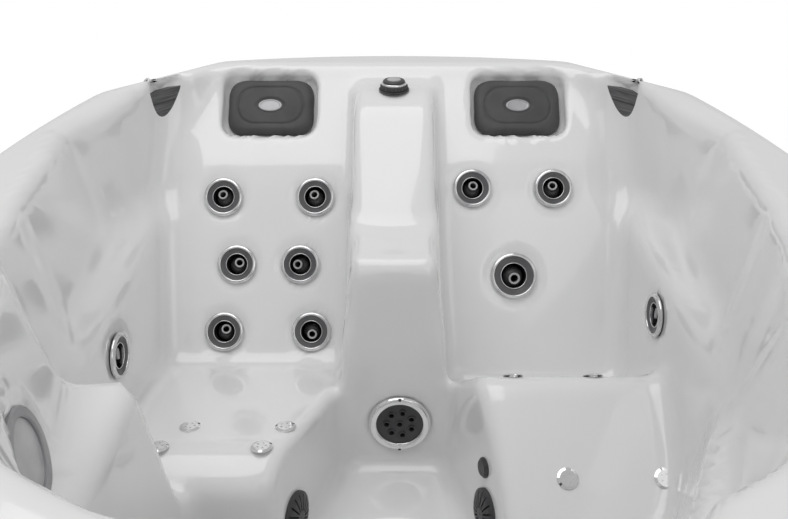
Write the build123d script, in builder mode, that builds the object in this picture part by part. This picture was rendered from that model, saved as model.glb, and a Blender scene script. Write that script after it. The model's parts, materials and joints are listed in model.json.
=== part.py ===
"""A compact hot tub for two or three: an acrylic shell in a panelled cabinet, with its jets and equipment.

Millimetres. +X is to the right of a bather's view from the near end, +Y runs to the two seats, and +Z is up.
The origin is at the middle of the footprint, on the floor. A depth is measured down from the top of the rim.
"""

from build123d import *
from math import atan2, cos, degrees, radians, sin, tan
import os

os.makedirs("parts", exist_ok=True)

# Overall size and the outline of the rim
tub_width = 1520
tub_length = 1820
rim_height = 850
end_bow = 54
side_bow = 77
corner_across = 232
corner_along = 262
flange_thickness = 8
skirt_height = 62
lip_radius = 20
wall = 8
clearance = 0.3

# Basin: the open upper part of the shell
opening_side_rim = 88
opening_back_rim = 85
opening_near_rim = 205
seat_top_depth = 200
armrest_depth = 250
armrest_width = 72
basin_draft = 9

# Seats
seat_recline = 34
seat_plane_rim = 165.6
upright_crease_depth = 592
upright_pan_length = 390
upright_pan_rise = 83
lounger_bowl_depth = 640
knee_crest_depth = 440
knee_crest_back = 800
calf_slope = 35
foot_pocket_depth = 700
foot_pocket_end = 350
seat_fillet = 45

# Saddle between the seats
saddle_half_width = 100
shelf_depth = 38
shelf_front = 232
saddle_end_depth = 430

# Footwell
floor_height = 80
footwell_half_width = 112
footwell_left_flare = 110
footwell_right_flare = 93
footwell_left_reach = 370
footwell_draft = 6
footwell_back = 718
footwell_near_rim = 340

# Cabinet and base
base_height = 30
base_inset = 8
panel_inset = 12
panel_thickness = 14
panel_top_gap = 20
stud_width = 60
stud_depth = 16
joist_width = 60
screw_radius = 3
screw_head_radius = 7
screw_head_height = 3

# Jets, in the seat backs, the side walls and the footwell
dish_radius = 61
dish_depth = 4
jet_flange = 3
jet_nut_height = 12
jet_tail = 100
medium_bezel = 95
medium_barrel = 34
medium_ball = 22
large_bezel = 112
large_barrel = 40
large_ball = 27
ball_depth = 28
nozzle_reach = 30
foot_bezel = 143
foot_barrel = 57
foot_hole_radius = 6
foot_hole_ring = 30
foot_hole_count = 7
foot_jet_x = 13
foot_jet_depth = 656
left_seat_x = -305
right_seat_x = 291
upper_row_depth = 258
middle_row_depth = 395
lower_row_depth = 530
upper_half_pitch = 112
middle_half_pitch = 77
lower_half_pitch = 105
lounger_upper_depth = 240
lounger_half_pitch = 99
lounger_large_depth = 418
hip_left_back = 790
hip_left_depth = 400
hip_right_back = 679
hip_right_depth = 376
nozzle_tilt = 14

# Small fittings
air_cap_radius = 21
air_cap_height = 4
air_stem_radius = 10
air_stem_length = 34
cover_radius = 52
cover_height = 17
cover_slots = 16
suction_depth = 682
light_radius = 68
light_back = 1304
light_depth = 174
light_turn = 15
return_radius = 21

# Pillows and diverter
pillow_x = 314
pillow_width = 230
pillow_length = 160
pillow_thickness = 22
pillow_crown = 7
pillow_waist = 6
pillow_back = 160
pillow_depth = 88
pillow_pitch = 47.4
pocket_margin = 4
pillow_gap = 0.3
insert_length = 61
insert_width = 33
knob_back = 187
knob_base_radius = 37.5
knob_radius = 31
knob_height = 30
valve_radius = 26
valve_length = 70

# Skimmer in the near end
niche_radius = 110
niche_depth = 330
housing_gap = 4
housing_wall = 4
cartridge_radius = 62
cartridge_height = 235
cartridge_setback = 24
weir_width = 116
weir_height = 80
weir_sill = 190
niche_setback = 42
mouth_margin = 4
mouth_reach = 150

# Keypad on the near rim
keypad_x = 290
keypad_back = 1680
keypad_length = 150
keypad_width = 70
keypad_height = 5
button_radius = 9
button_pitch = 36
button_travel = 1.5

# Equipment between the shell and the near panel
equipment_back = 1675
pump_axis_height = 112
pump_housing_radius = 80
pump_housing_length = 72
pump_motor_radius = 70
pump_motor_length = 240
pump_x = 130
impeller_radius = 56
shaft_radius = 9
pipe_radius = 24
heater_radius = 38
heater_length = 380
heater_height = 330
pack_length = 230
pack_width = 116
pack_height = 230
blower_radius = 62
blower_height = 165
manifold_width = 330
manifold_length = 400
manifold_thickness = 40
drain_radius = 13
gland_radius = 10

half_width = tub_width / 2
half_length = tub_length / 2
opening_half_width = half_width - opening_side_rim
opening_back = half_length - opening_back_rim
opening_near = -half_length + opening_near_rim
seat_top = half_length - seat_plane_rim
bucket_side = opening_half_width - 42 - armrest_width
niche_y = opening_near - niche_setback


def height(depth):
    """Height above the floor of a depth below the rim."""
    return rim_height - depth


def seat_back_y(depth):
    """Where the reclined seat back lies at a depth."""
    return seat_top - tan(radians(seat_recline)) * depth


upright_crease = seat_back_y(upright_crease_depth)
upright_lip = upright_crease - upright_pan_length
lounger_bowl = seat_back_y(lounger_bowl_depth)
knee_crest = half_length - knee_crest_back
foot_pocket_top = knee_crest - (foot_pocket_depth - knee_crest_depth) / tan(radians(calf_slope))
foot_pocket_front = foot_pocket_top - foot_pocket_end + 60
footwell_back_y = half_length - footwell_back
footwell_near_y = -half_length + footwell_near_rim


def rim_outline(inset):
    """A face of the rim's bowed octagon, drawn in by inset."""
    shoulder_y = half_length - end_bow
    side_y = shoulder_y - corner_along
    side_x = half_width - side_bow
    shoulder_x = side_x - corner_across
    with BuildSketch() as outline:
        with BuildLine():
            ThreePointArc((-shoulder_x, shoulder_y), (0, half_length), (shoulder_x, shoulder_y))
            Line((shoulder_x, shoulder_y), (side_x, side_y))
            ThreePointArc((side_x, side_y), (half_width, 0), (side_x, -side_y))
            Line((side_x, -side_y), (shoulder_x, -shoulder_y))
            ThreePointArc((shoulder_x, -shoulder_y), (0, -half_length), (-shoulder_x, -shoulder_y))
            Line((-shoulder_x, -shoulder_y), (-side_x, -side_y))
            ThreePointArc((-side_x, -side_y), (-half_width, 0), (-side_x, side_y))
            Line((-side_x, side_y), (-shoulder_x, shoulder_y))
        make_face()
        if inset:
            offset(amount=-inset, kind=Kind.INTERSECTION)
    return outline.sketch


def drafted(grow, draft):
    """How far an outline moves out, at the lowered base of a drafted wall, so that the wall grows evenly."""
    return grow * (1 - sin(radians(draft))) / cos(radians(draft))


def basin(grow):
    """The upper bowl: an egg-shaped well with drafted sides, and the slope behind the headrests."""
    w = opening_half_width
    b = seat_back_y(armrest_depth)
    n = opening_near + 80
    side = [(0.94 * w, b - 195), (0.895 * w, b - 455), (0.80 * w, b - 725), (0.735 * w, b - 861), (0.69 * w, b - 975)]
    half = [(0.64 * w, b - 20), (0.88 * w, b - 105), *side, (0.565 * w, n + 95), (0.34 * w, n + 15), (0.15 * w, n)]
    with BuildPart() as bowl:
        with BuildSketch(Plane.XY.offset(height(armrest_depth) - grow)):
            with BuildLine():
                Polyline(*half, *[(-x, y) for x, y in reversed(half)], close=True)
            make_face()
            if grow:
                offset(amount=drafted(grow, basin_draft), kind=Kind.INTERSECTION)
        extrude(amount=armrest_depth + grow, taper=-basin_draft)
    corner = half_width - side_bow - corner_across
    behind = grow / cos(radians(seat_recline))
    with BuildPart() as slope:
        with BuildSketch(Plane.YZ.offset(-w)):
            with BuildLine():
                Polyline(
                    (opening_back + 1.4 * grow, rim_height),
                    (seat_back_y(seat_top_depth) + behind, height(seat_top_depth)),
                    (seat_back_y(armrest_depth + grow) + behind, height(armrest_depth) - grow),
                    (0, height(armrest_depth) - grow),
                    (0, rim_height),
                    close=True,
                )
            make_face()
        extrude(amount=2 * w)
        with BuildSketch(Plane.XY):
            with BuildLine():
                Polyline(
                    (corner - 28, opening_back),
                    (0.80 * w, opening_back - 130),
                    (0.93 * w, b - 60),
                    (0.90 * w, 0),
                    (-0.90 * w, 0),
                    (-0.93 * w, b - 60),
                    (-0.80 * w, opening_back - 130),
                    (28 - corner, opening_back),
                    close=True,
                )
            make_face()
            if grow:
                offset(amount=grow, kind=Kind.INTERSECTION)
        extrude(amount=rim_height, mode=Mode.INTERSECT)
    with BuildPart() as joined:
        add(bowl.part)
        add(slope.part)
    return joined.part


def bucket(profile, x_low, x_high, grow):
    """A seat's hollow: its side profile carried across, with rounded side edges."""
    with BuildPart() as hollow:
        with BuildSketch(Plane.YZ.offset(x_low - grow)):
            with BuildLine():
                Polyline(*profile, close=True)
            make_face()
            if grow:
                offset(amount=grow, kind=Kind.INTERSECTION)
        extrude(amount=x_high - x_low + 2 * grow)
        for side in (hollow.faces().sort_by(Axis.X)[0], hollow.faces().sort_by(Axis.X)[-1]):
            lower_edges = side.edges().filter_by(lambda edge: edge.center().Z < height(seat_top_depth) - 20)
            fillet(lower_edges, radius=seat_fillet + grow)
    return hollow.part


def upright_hollow(grow):
    """The left seat, sat in upright, open to the footwell in front."""
    lip_height = height(upright_crease_depth) + upright_pan_rise
    front = upright_lip - 75
    profile = [
        (seat_back_y(seat_top_depth), height(seat_top_depth)),
        (upright_crease, height(upright_crease_depth)),
        (upright_lip, lip_height),
        (front, lip_height - 8),
        (front, height(seat_top_depth)),
    ]
    return bucket(profile, -bucket_side, -saddle_half_width, grow)


def lounger_hollow(grow):
    """The right seat, a lounger: bowl, thigh slope, knee crest, calf slope and foot pocket."""
    profile = [
        (seat_back_y(seat_top_depth), height(seat_top_depth)),
        (lounger_bowl, height(lounger_bowl_depth)),
        (knee_crest, height(knee_crest_depth)),
        (foot_pocket_top, height(foot_pocket_depth)),
        (foot_pocket_front, height(foot_pocket_depth)),
        (foot_pocket_front - 60, height(seat_top_depth)),
    ]
    hollow = bucket(profile, saddle_half_width, bucket_side, grow)
    near_half = 0.5 * bucket_side
    with BuildPart() as trimmed:
        add(hollow)
        with BuildSketch(Plane.XY):
            with BuildLine():
                Polyline(
                    (0, half_length),
                    (bucket_side + grow, half_length),
                    (bucket_side + grow, upright_lip - 60),
                    (0.82 * bucket_side + grow, foot_pocket_top - 40),
                    (near_half + grow, foot_pocket_front - 60 - grow),
                    (0, foot_pocket_front - 60 - grow),
                    close=True,
                )
            make_face()
        extrude(amount=rim_height, mode=Mode.INTERSECT)
    return trimmed.part


def footwell_points():
    """The corners of the footwell's floor, from its back left corner round."""
    left = -footwell_half_width - footwell_left_flare
    right = footwell_half_width + footwell_right_flare
    seat_front = upright_lip - 75
    step = footwell_near_y + 170
    return [
        (-footwell_half_width, footwell_back_y),
        (left, seat_front - 10),
        (-footwell_left_reach, seat_front - 10),
        (-footwell_left_reach, step),
        (-90, step),
        (-90, footwell_near_y),
        (right, footwell_near_y),
        (right, seat_front),
        (footwell_half_width, footwell_back_y),
    ]


def footwell(grow):
    """The deep well for the feet, between the seats and in front of the left one."""
    with BuildPart() as well:
        with BuildSketch(Plane.XY.offset(floor_height - grow)):
            with BuildLine():
                Polyline(*footwell_points(), close=True)
            make_face()
            if grow:
                offset(amount=drafted(grow, footwell_draft), kind=Kind.INTERSECTION)
        extrude(amount=height(armrest_depth) - floor_height + grow, taper=-footwell_draft)
    return well.part


def saddle(shrink):
    """The raised saddle between the seats, which slopes from the knob's shelf to the foot boss."""
    shelf_y = half_length - shelf_front
    end = footwell_back_y - 20
    side = saddle_half_width - shrink
    with BuildPart() as ridge:
        with BuildSketch(Plane.YZ.offset(-side)):
            with BuildLine():
                Polyline(
                    (half_length, height(shelf_depth) - shrink),
                    (shelf_y, height(shelf_depth) - shrink),
                    (end, height(saddle_end_depth) - shrink),
                    (end, floor_height),
                    (half_length, floor_height),
                    close=True,
                )
            make_face()
        extrude(amount=2 * side)
    return ridge.part


def pocket(x, grow):
    """The slanted recess that a pillow lies in."""
    floor_offset = pillow_thickness + pillow_gap + grow
    with BuildPart() as recess:
        with BuildSketch(pillow_plane(x).offset(-floor_offset)):
            width = pillow_width + 2 * (pocket_margin + grow)
            length = pillow_length + 2 * (pocket_margin + grow)
            RectangleRounded(width, length, 30)
        extrude(amount=floor_offset + 70)
        with BuildSketch(Plane.XY.offset(rim_height)):
            Rectangle(2 * tub_width, 2 * tub_length)
        extrude(amount=tub_width, mode=Mode.SUBTRACT)
    return recess.part


def niche(grow):
    """The round recess in the near end that holds the skimmer."""
    with BuildPart() as recess:
        with BuildSketch(Plane.XY.offset(height(niche_depth) - grow)):
            with Locations((0, niche_y)):
                Circle(niche_radius + grow)
        extrude(amount=niche_depth + grow)
    return recess.part


def mouth(grow):
    """The short way from the basin into the skimmer's recess, in front of its weir."""
    margin = mouth_margin + grow
    with BuildPart() as way:
        with BuildSketch(Plane.XY.offset(height(weir_sill) - margin)):
            with Locations((0, niche_y + mouth_reach / 2)):
                Rectangle(weir_width + 2 * margin, mouth_reach)
        extrude(amount=weir_height + 2 * margin)
    return way.part


def water_volume(grow):
    """Everything hollow inside the shell, or its outside when grown by the wall."""
    with BuildPart() as volume:
        add(basin(grow))
        add(upright_hollow(grow))
        add(lounger_hollow(grow))
        add(saddle(grow), mode=Mode.SUBTRACT)
        add(footwell(grow))
        for x in (-pillow_x, pillow_x):
            add(pocket(x, grow))
        add(niche(grow))
        add(mouth(grow))
    return volume.part


def pillow_plane(x):
    """The plane of a pillow's front face, with its y up the slope and its z into the tub."""
    up = (0, cos(radians(pillow_pitch)), sin(radians(pillow_pitch)))
    facing = (0, -up[2], up[1])
    return Plane(origin=(x, half_length - pillow_back, height(pillow_depth)), x_dir=(1, 0, 0), z_dir=facing)


def dish_floor(origin, facing, across):
    """The plane of a dish's floor, sunk below the wall that it is cut in."""
    return Plane(origin=origin, x_dir=across, z_dir=facing).offset(-dish_depth)


def seat_back_plane(x, depth):
    """The dish floor of a jet in a seat back."""
    facing = (0, -cos(radians(seat_recline)), sin(radians(seat_recline)))
    return dish_floor((x, seat_back_y(depth), height(depth)), facing, (1, 0, 0))


def side_plane(side, back, depth):
    """The dish floor of a jet in a side wall, on side -1 or 1."""
    origin = (side * bucket_side, half_length - back, height(depth))
    return dish_floor(origin, (-side, 0, 0), (0, side, 0))


def footwell_plane(start, end, share, depth):
    """A plane on a drafted footwell wall, part of the way along one edge of its floor."""
    rise = height(depth) - floor_height
    run_x = end[0] - start[0]
    run_y = end[1] - start[1]
    length = (run_x**2 + run_y**2) ** 0.5
    inward = (-run_y / length, run_x / length)
    back_off = rise * tan(radians(footwell_draft))
    origin = (
        start[0] + share * run_x - inward[0] * back_off,
        start[1] + share * run_y - inward[1] * back_off,
        height(depth),
    )
    tilt = radians(footwell_draft)
    facing = (inward[0] * cos(tilt), inward[1] * cos(tilt), sin(tilt))
    return Plane(origin=origin, x_dir=(run_x / length, run_y / length, 0), z_dir=facing)


# Each jet: its dish floor, its size, and the direction in which its nozzle leans, in degrees round the axis
medium = (medium_bezel, medium_barrel, medium_ball)
large = (large_bezel, large_barrel, large_ball)
jets = {
    "upper_left": (seat_back_plane(left_seat_x - upper_half_pitch, upper_row_depth), medium, 112),
    "upper_right": (seat_back_plane(left_seat_x + upper_half_pitch, upper_row_depth), medium, 112),
    "middle_left": (seat_back_plane(left_seat_x - middle_half_pitch, middle_row_depth), medium, 38),
    "middle_right": (seat_back_plane(left_seat_x + middle_half_pitch, middle_row_depth), medium, 180),
    "lower_left": (seat_back_plane(left_seat_x - lower_half_pitch, lower_row_depth), medium, 60),
    "lower_right": (seat_back_plane(left_seat_x + lower_half_pitch, lower_row_depth), medium, -75),
    "lounger_left": (seat_back_plane(right_seat_x - lounger_half_pitch, lounger_upper_depth), medium, 71),
    "lounger_right": (seat_back_plane(right_seat_x + lounger_half_pitch, lounger_upper_depth), medium, 97),
    "lounger_large": (seat_back_plane(right_seat_x, lounger_large_depth), large, -72),
    "hip_left": (side_plane(-1, hip_left_back, hip_left_depth), medium, 180),
    "hip_right": (side_plane(1, hip_right_back, hip_right_depth), medium, 0),
}

floor = footwell_points()
foot_share = 0.5 - foot_jet_x / (2 * footwell_half_width)
foot_plane = footwell_plane(floor[-1], floor[0], foot_share, foot_jet_depth).offset(-dish_depth)
left_suction = footwell_plane(floor[0], floor[1], 0.74, suction_depth)
right_suction = footwell_plane(floor[7], floor[8], 0.26, suction_depth)
return_plane = footwell_plane(floor[7], floor[8], 0.40, 600)

light_y = half_length - light_back
light_turned = radians(light_turn)
light_x = -(0.693 * opening_half_width + (armrest_depth - light_depth) * tan(radians(basin_draft)))
light_tilt = radians(basin_draft)
light_plane = Plane(
    origin=(light_x, light_y, height(light_depth)),
    x_dir=(-sin(light_turned), cos(light_turned), 0),
    z_dir=(cos(light_turned) * cos(light_tilt), sin(light_turned) * cos(light_tilt), sin(light_tilt)),
)


def sloping_plane(x, y, z, slope):
    """A plane on a surface that rises towards the back by slope degrees."""
    tilt = radians(slope)
    return Plane(origin=(x, y, z), x_dir=(1, 0, 0), z_dir=(0, -sin(tilt), cos(tilt)))


pan_tilt = -degrees(atan2(upright_pan_rise, upright_pan_length))


def pan_place(x, back):
    """A place on the left seat's pan."""
    along = upright_crease - (half_length - back)
    z = height(upright_crease_depth) + upright_pan_rise * along / upright_pan_length
    return sloping_plane(x, half_length - back, z, pan_tilt)


def calf_place(x, back):
    """A place on the lounger's calf slope."""
    below = (knee_crest - (half_length - back)) * tan(radians(calf_slope))
    return sloping_plane(x, half_length - back, height(knee_crest_depth) - below, calf_slope)


def thigh_place(x, behind):
    """A place on the lounger's thigh slope, a little behind the knee crest."""
    rise = (lounger_bowl_depth - knee_crest_depth) / (lounger_bowl - knee_crest)
    z = height(knee_crest_depth) - behind * rise
    return sloping_plane(x, knee_crest + behind, z, -degrees(atan2(rise, 1)))


air_places = [
    pan_place(-415, 858),
    pan_place(-221, 858),
    pan_place(-459, 932),
    pan_place(-257, 932),
    thigh_place(249, 26),
    thigh_place(416, 26),
    calf_place(335, 970),
    calf_place(523, 970),
]


def turned(points, plane):
    """A solid turned about a plane's z axis from a closed profile of (radius, height) points."""
    profile = Plane(origin=plane.origin, x_dir=plane.x_dir, z_dir=-plane.y_dir)
    with BuildPart() as solid:
        with BuildSketch(profile):
            with BuildLine():
                Polyline(*points, close=True)
            make_face()
        revolve(axis=Axis(plane.origin, plane.z_dir))
    return solid.part


def drill(plane, radius, start, end):
    """A round hole's volume along a plane's z axis."""
    with BuildPart() as bit:
        with BuildSketch(plane.offset(start)):
            Circle(radius)
        extrude(amount=end - start)
    return bit.part


def save(part, label):
    """Label a finished piece and write it."""
    part.label = label
    export_step(part, f"parts/{label}.step")


keypad_y = half_length - keypad_back
equipment_y = half_length - equipment_back
knob_y = half_length - knob_back

# The acrylic shell
with BuildPart() as shell:
    with BuildSketch(Plane.XY.offset(rim_height - skirt_height)):
        add(rim_outline(0))
    extrude(amount=skirt_height)
    fillet(shell.faces().sort_by(Axis.Z)[-1].edges(), radius=lip_radius)
    with BuildSketch(Plane.XY.offset(rim_height - skirt_height)):
        add(rim_outline(wall))
    extrude(amount=skirt_height - flange_thickness, mode=Mode.SUBTRACT)
    add(water_volume(wall))
    add(water_volume(0), mode=Mode.SUBTRACT)
    for plane, (bezel, barrel, ball), lean in jets.values():
        dish = dish_radius * bezel / medium_bezel
        add(drill(plane, dish, 0, dish_depth + 6), mode=Mode.SUBTRACT)
        add(drill(plane, barrel + clearance, -2 * wall, 1), mode=Mode.SUBTRACT)
    add(drill(foot_plane, foot_bezel / 2 + 6, 0, dish_depth + 6), mode=Mode.SUBTRACT)
    add(drill(foot_plane, foot_barrel + clearance, -2 * wall, 1), mode=Mode.SUBTRACT)
    for place in air_places:
        add(drill(place, air_stem_radius + clearance, -4 * wall, 4 * wall), mode=Mode.SUBTRACT)
        add(drill(place, air_cap_radius + 2, 0, 3 * wall), mode=Mode.SUBTRACT)
    for place in (left_suction, right_suction):
        add(drill(place, cover_radius * 0.6 + clearance, -2 * wall, wall), mode=Mode.SUBTRACT)
    add(drill(return_plane, return_radius * 0.6 + clearance, -2 * wall, wall), mode=Mode.SUBTRACT)
    add(drill(light_plane, light_radius + 8, -wall, 0))
    add(drill(light_plane, light_radius + 8, 0, 60), mode=Mode.SUBTRACT)
    add(drill(light_plane, light_radius * 0.7 + clearance, -4 * wall, 4 * wall), mode=Mode.SUBTRACT)
    with Locations((0, knob_y, height(shelf_depth))):
        Hole(valve_radius + clearance, depth=3 * wall)
    with BuildSketch(Plane.XY.offset(rim_height - keypad_height)):
        with Locations((keypad_x, keypad_y)):
            RectangleRounded(keypad_length + 2 * clearance, keypad_width + 2 * clearance, 12)
    extrude(amount=keypad_height, mode=Mode.SUBTRACT)
save(shell.part, "shell")


def arc_radius(chord, bow):
    """The radius of an arc of a half chord and a bow."""
    return (chord**2 + bow**2) / (2 * bow)


def panel_face(turn, along, z):
    """A plane on a cabinet panel's outer face, its z outward: turn 0 is right, 90 rear, 180 left, 270 near."""
    on_side = turn in (0, 180)
    reach = half_width if on_side else half_length
    bow = side_bow if on_side else end_bow
    chord = half_length - end_bow - corner_along if on_side else half_width - side_bow - corner_across
    radius = arc_radius(chord, bow)
    out = radius - panel_inset
    depth = reach - radius + (out**2 - along**2) ** 0.5
    lean = along / out
    level = (1 - lean**2) ** 0.5
    facing = {0: (level, lean), 90: (lean, level), 180: (-level, lean), 270: (lean, -level)}[turn]
    place = {0: (depth, along), 90: (along, depth), 180: (-depth, along), 270: (along, -depth)}[turn]
    return Plane(origin=(*place, z), x_dir=(-facing[1], facing[0], 0), z_dir=(*facing, 0))


# Base pan, studs and joists
with BuildPart() as base_pan:
    with BuildSketch():
        add(rim_outline(base_inset))
    extrude(amount=base_height)
    chamfer(base_pan.faces().sort_by(Axis.Z)[-1].edges(), length=4)
save(base_pan.part, "base_pan")

side_studs = (-480, 0, 440)
end_studs = (-100, 100)
stud_top = rim_height - flange_thickness
screw_heights = (base_height + 60, stud_top - 90)
stud_places = [(turn, along) for turn in (0, 180) for along in side_studs]
stud_places += [(turn, along) for turn in (90, 270) for along in end_studs]
screw_planes = [panel_face(turn, along, z) for turn, along in stud_places for z in screw_heights]

with BuildPart() as frame:
    with BuildSketch(Plane.XY.offset(base_height)):
        add(rim_outline(panel_inset + panel_thickness + clearance))
        add(rim_outline(panel_inset + panel_thickness + stud_depth), mode=Mode.SUBTRACT)
    extrude(amount=stud_top - base_height)
    with BuildSketch(Plane.XY.offset(base_height)):
        with Locations(*[(0, along) for along in side_studs]):
            Rectangle(tub_width, stud_width)
        with Locations(*[(along, 0) for along in end_studs]):
            Rectangle(stud_width, tub_length)
    extrude(amount=stud_top - base_height, mode=Mode.INTERSECT)
    for plane in screw_planes:
        add(drill(plane, screw_radius + clearance, -panel_thickness - 2 * stud_depth, 1), mode=Mode.SUBTRACT)
    joist_near = footwell_near_y + 20
    joist_end = footwell_back_y - 40
    with BuildSketch(Plane.XY.offset(base_height)):
        with Locations((-90, (joist_near + 180 + joist_end) / 2)):
            Rectangle(joist_width, joist_end - joist_near - 180)
        with Locations((120, (joist_near + joist_end) / 2)):
            Rectangle(joist_width, joist_end - joist_near)
        with Locations((-footwell_half_width - 150, footwell_near_y + 310)):
            Rectangle(joist_width, 220)
    extrude(amount=floor_height - wall - base_height)
save(frame.part, "frame")

# Cabinet panels
drain_plane = panel_face(270, -20, base_height + 45)
gland_plane = panel_face(270, -300, base_height + 90)
side_limit = 2 * (half_length - end_bow - corner_along - 6)
end_limit = 2 * (half_width - side_bow - corner_across - 6)
panel_regions = {
    "front_panel": ((0, -half_length), (end_limit, tub_length)),
    "rear_panel": ((0, half_length), (end_limit, tub_length)),
    "left_panel": ((-half_width, 0), (tub_width, side_limit)),
    "right_panel": ((half_width, 0), (tub_width, side_limit)),
}
panel_height = stud_top - panel_top_gap - base_height
for label, (centre, size) in panel_regions.items():
    with BuildPart() as panel:
        with BuildSketch(Plane.XY.offset(base_height)):
            add(rim_outline(panel_inset))
            add(rim_outline(panel_inset + panel_thickness), mode=Mode.SUBTRACT)
        extrude(amount=panel_height)
        with BuildSketch(Plane.XY.offset(base_height)):
            with Locations(centre):
                Rectangle(*size)
        extrude(amount=panel_height, mode=Mode.INTERSECT)
        for plane in screw_planes:
            add(drill(plane, screw_radius + clearance, -panel_thickness - 1, 1), mode=Mode.SUBTRACT)
            add(drill(plane, screw_head_radius + clearance, -screw_head_height, 1), mode=Mode.SUBTRACT)
        add(drill(drain_plane, drain_radius + clearance, -panel_thickness - 4, 4), mode=Mode.SUBTRACT)
        add(drill(gland_plane, gland_radius + clearance, -panel_thickness - 4, 4), mode=Mode.SUBTRACT)
    save(panel.part, label)

with BuildPart() as corner_panels:
    with BuildSketch(Plane.XY.offset(base_height)):
        add(rim_outline(panel_inset))
        add(rim_outline(panel_inset + panel_thickness), mode=Mode.SUBTRACT)
        Rectangle(end_limit, 2 * tub_length, mode=Mode.SUBTRACT)
        Rectangle(2 * tub_width, side_limit, mode=Mode.SUBTRACT)
    extrude(amount=panel_height)
save(corner_panels.part, "corner_panels")

with BuildPart() as panel_screws:
    for plane in screw_planes:
        with BuildSketch(plane.offset(-screw_head_height)):
            Circle(screw_head_radius)
        extrude(amount=screw_head_height - clearance)
        with BuildSketch(plane.offset(-panel_thickness - stud_depth + 2)):
            Circle(screw_radius)
        extrude(amount=panel_thickness + stud_depth - 2 - screw_head_height)
        with BuildSketch(plane.offset(-1.5)):
            Rectangle(7, 1.6)
            Rectangle(1.6, 7)
        extrude(amount=2, mode=Mode.SUBTRACT)
save(panel_screws.part, "panel_screws")


def jet_body(plane, barrel):
    """A jet's fixed body: flange in the dish, barrel through the shell, nut and tail behind it."""
    bore = barrel - 4
    nut_front = -(wall - dish_depth) - clearance
    nut_back = nut_front - jet_nut_height
    points = [
        (0, -jet_tail), (12, -jet_tail), (12, -74), (barrel, -74),
        (barrel, nut_back), (barrel + 10, nut_back), (barrel + 10, nut_front), (barrel, nut_front),
        (barrel, 0), (barrel + 10, 0), (barrel + 10, jet_flange), (bore, jet_flange), (bore, -70), (0, -70),
    ]
    return turned(points, plane)


def jet_bezel(plane, diameter, barrel, ball):
    """A turning bezel: outer ring, conical step, thin inner ring, and the sleeve that holds the ball."""
    outer = diameter / 2
    seat = ball + clearance
    mouth = ball + 3
    sleeve = barrel - 4 - clearance
    lower = jet_flange + clearance
    points = [
        (seat - 4, -56), (sleeve, -56), (sleeve, lower), (outer, lower), (outer, lower + 4),
        (outer - 3, lower + 7), (outer - 8, lower + 8), (outer - 10, lower + 6), (mouth + 2.5, lower + 1),
        (mouth + 2, lower + 3), (mouth, lower + 3), (mouth, -8), (seat, -10), (seat, -54), (seat - 4, -54),
    ]
    return turned(points, plane)


def nozzle_plane(plane, lean, tilt):
    """The ball's plane, its z along the nozzle, leaning by tilt towards lean degrees round the jet."""
    toward = plane.x_dir * cos(radians(lean)) + plane.y_dir * sin(radians(lean))
    along = plane.z_dir * cos(radians(tilt)) + toward * sin(radians(tilt))
    return Plane(origin=plane.offset(-ball_depth).origin, x_dir=plane.z_dir.cross(toward), z_dir=along)


def jet_nozzle(plane, ball):
    """A nozzle: a ball cut flat at the back, with a short tube in front and a bore through both."""
    tube = 0.52 * ball
    bore = 0.34 * ball
    cut = -0.64 * ball
    profile = Plane(origin=plane.origin, x_dir=plane.x_dir, z_dir=-plane.y_dir)
    with BuildPart() as nozzle:
        with BuildSketch(profile):
            with BuildLine():
                Line((bore, cut), ((ball**2 - cut**2) ** 0.5, cut))
                ThreePointArc(
                    ((ball**2 - cut**2) ** 0.5, cut), (ball, 0), (tube, (ball**2 - tube**2) ** 0.5)
                )
                Polyline((tube, (ball**2 - tube**2) ** 0.5), (tube, nozzle_reach), (bore, nozzle_reach), (bore, cut))
            make_face()
        revolve(axis=Axis(plane.origin, plane.z_dir))
    return nozzle.part


# Jets
with BuildPart() as jet_bodies:
    for plane, (bezel, barrel, ball), lean in jets.values():
        add(jet_body(plane, barrel))
    add(jet_body(foot_plane, foot_barrel))
save(jet_bodies.part, "jet_bodies")

for label, (plane, (bezel, barrel, ball), lean) in jets.items():
    save(jet_bezel(plane, bezel, barrel, ball), f"{label}_bezel")
    save(jet_nozzle(nozzle_plane(plane, lean, nozzle_tilt), ball), f"{label}_nozzle")

foot_bore = foot_barrel - 4
foot_seat = jet_flange + clearance
foot_outer = foot_bezel / 2
foot_ring = [
    (foot_bore, foot_seat), (foot_outer, foot_seat), (foot_outer, foot_seat + 6), (foot_outer - 5, foot_seat + 11),
    (foot_outer - 13, foot_seat + 11), (foot_bore, foot_seat + 8),
]
save(turned(foot_ring, foot_plane), "foot_jet_bezel")

with BuildPart() as foot_jet_insert:
    with BuildSketch(foot_plane.offset(-20)):
        Circle(foot_bore - clearance)
    extrude(amount=28)
    with BuildSketch(foot_plane.offset(8)):
        Circle(foot_hole_radius + 3)
        with PolarLocations(foot_hole_ring, foot_hole_count):
            Circle(foot_hole_radius + 3)
    extrude(amount=3)
    with BuildSketch(foot_plane.offset(-20)):
        Circle(foot_hole_radius)
        with PolarLocations(foot_hole_ring, foot_hole_count):
            Circle(foot_hole_radius)
    extrude(amount=40, mode=Mode.SUBTRACT)
save(foot_jet_insert.part, "foot_jet_insert")

# Air injectors, suction covers and the other wall fittings
with BuildPart() as air_jets:
    for place in air_places:
        cap = [
            (0, -air_stem_length), (air_stem_radius, -air_stem_length), (air_stem_radius, clearance),
            (air_cap_radius, clearance), (air_cap_radius, 2), (air_cap_radius - 5, air_cap_height),
            (0, air_cap_height),
        ]
        add(turned(cap, place))
        with BuildSketch(place.offset(air_cap_height - 2)):
            with PolarLocations(9, 5):
                Circle(2)
        extrude(amount=4, mode=Mode.SUBTRACT)
save(air_jets.part, "air_jets")

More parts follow.
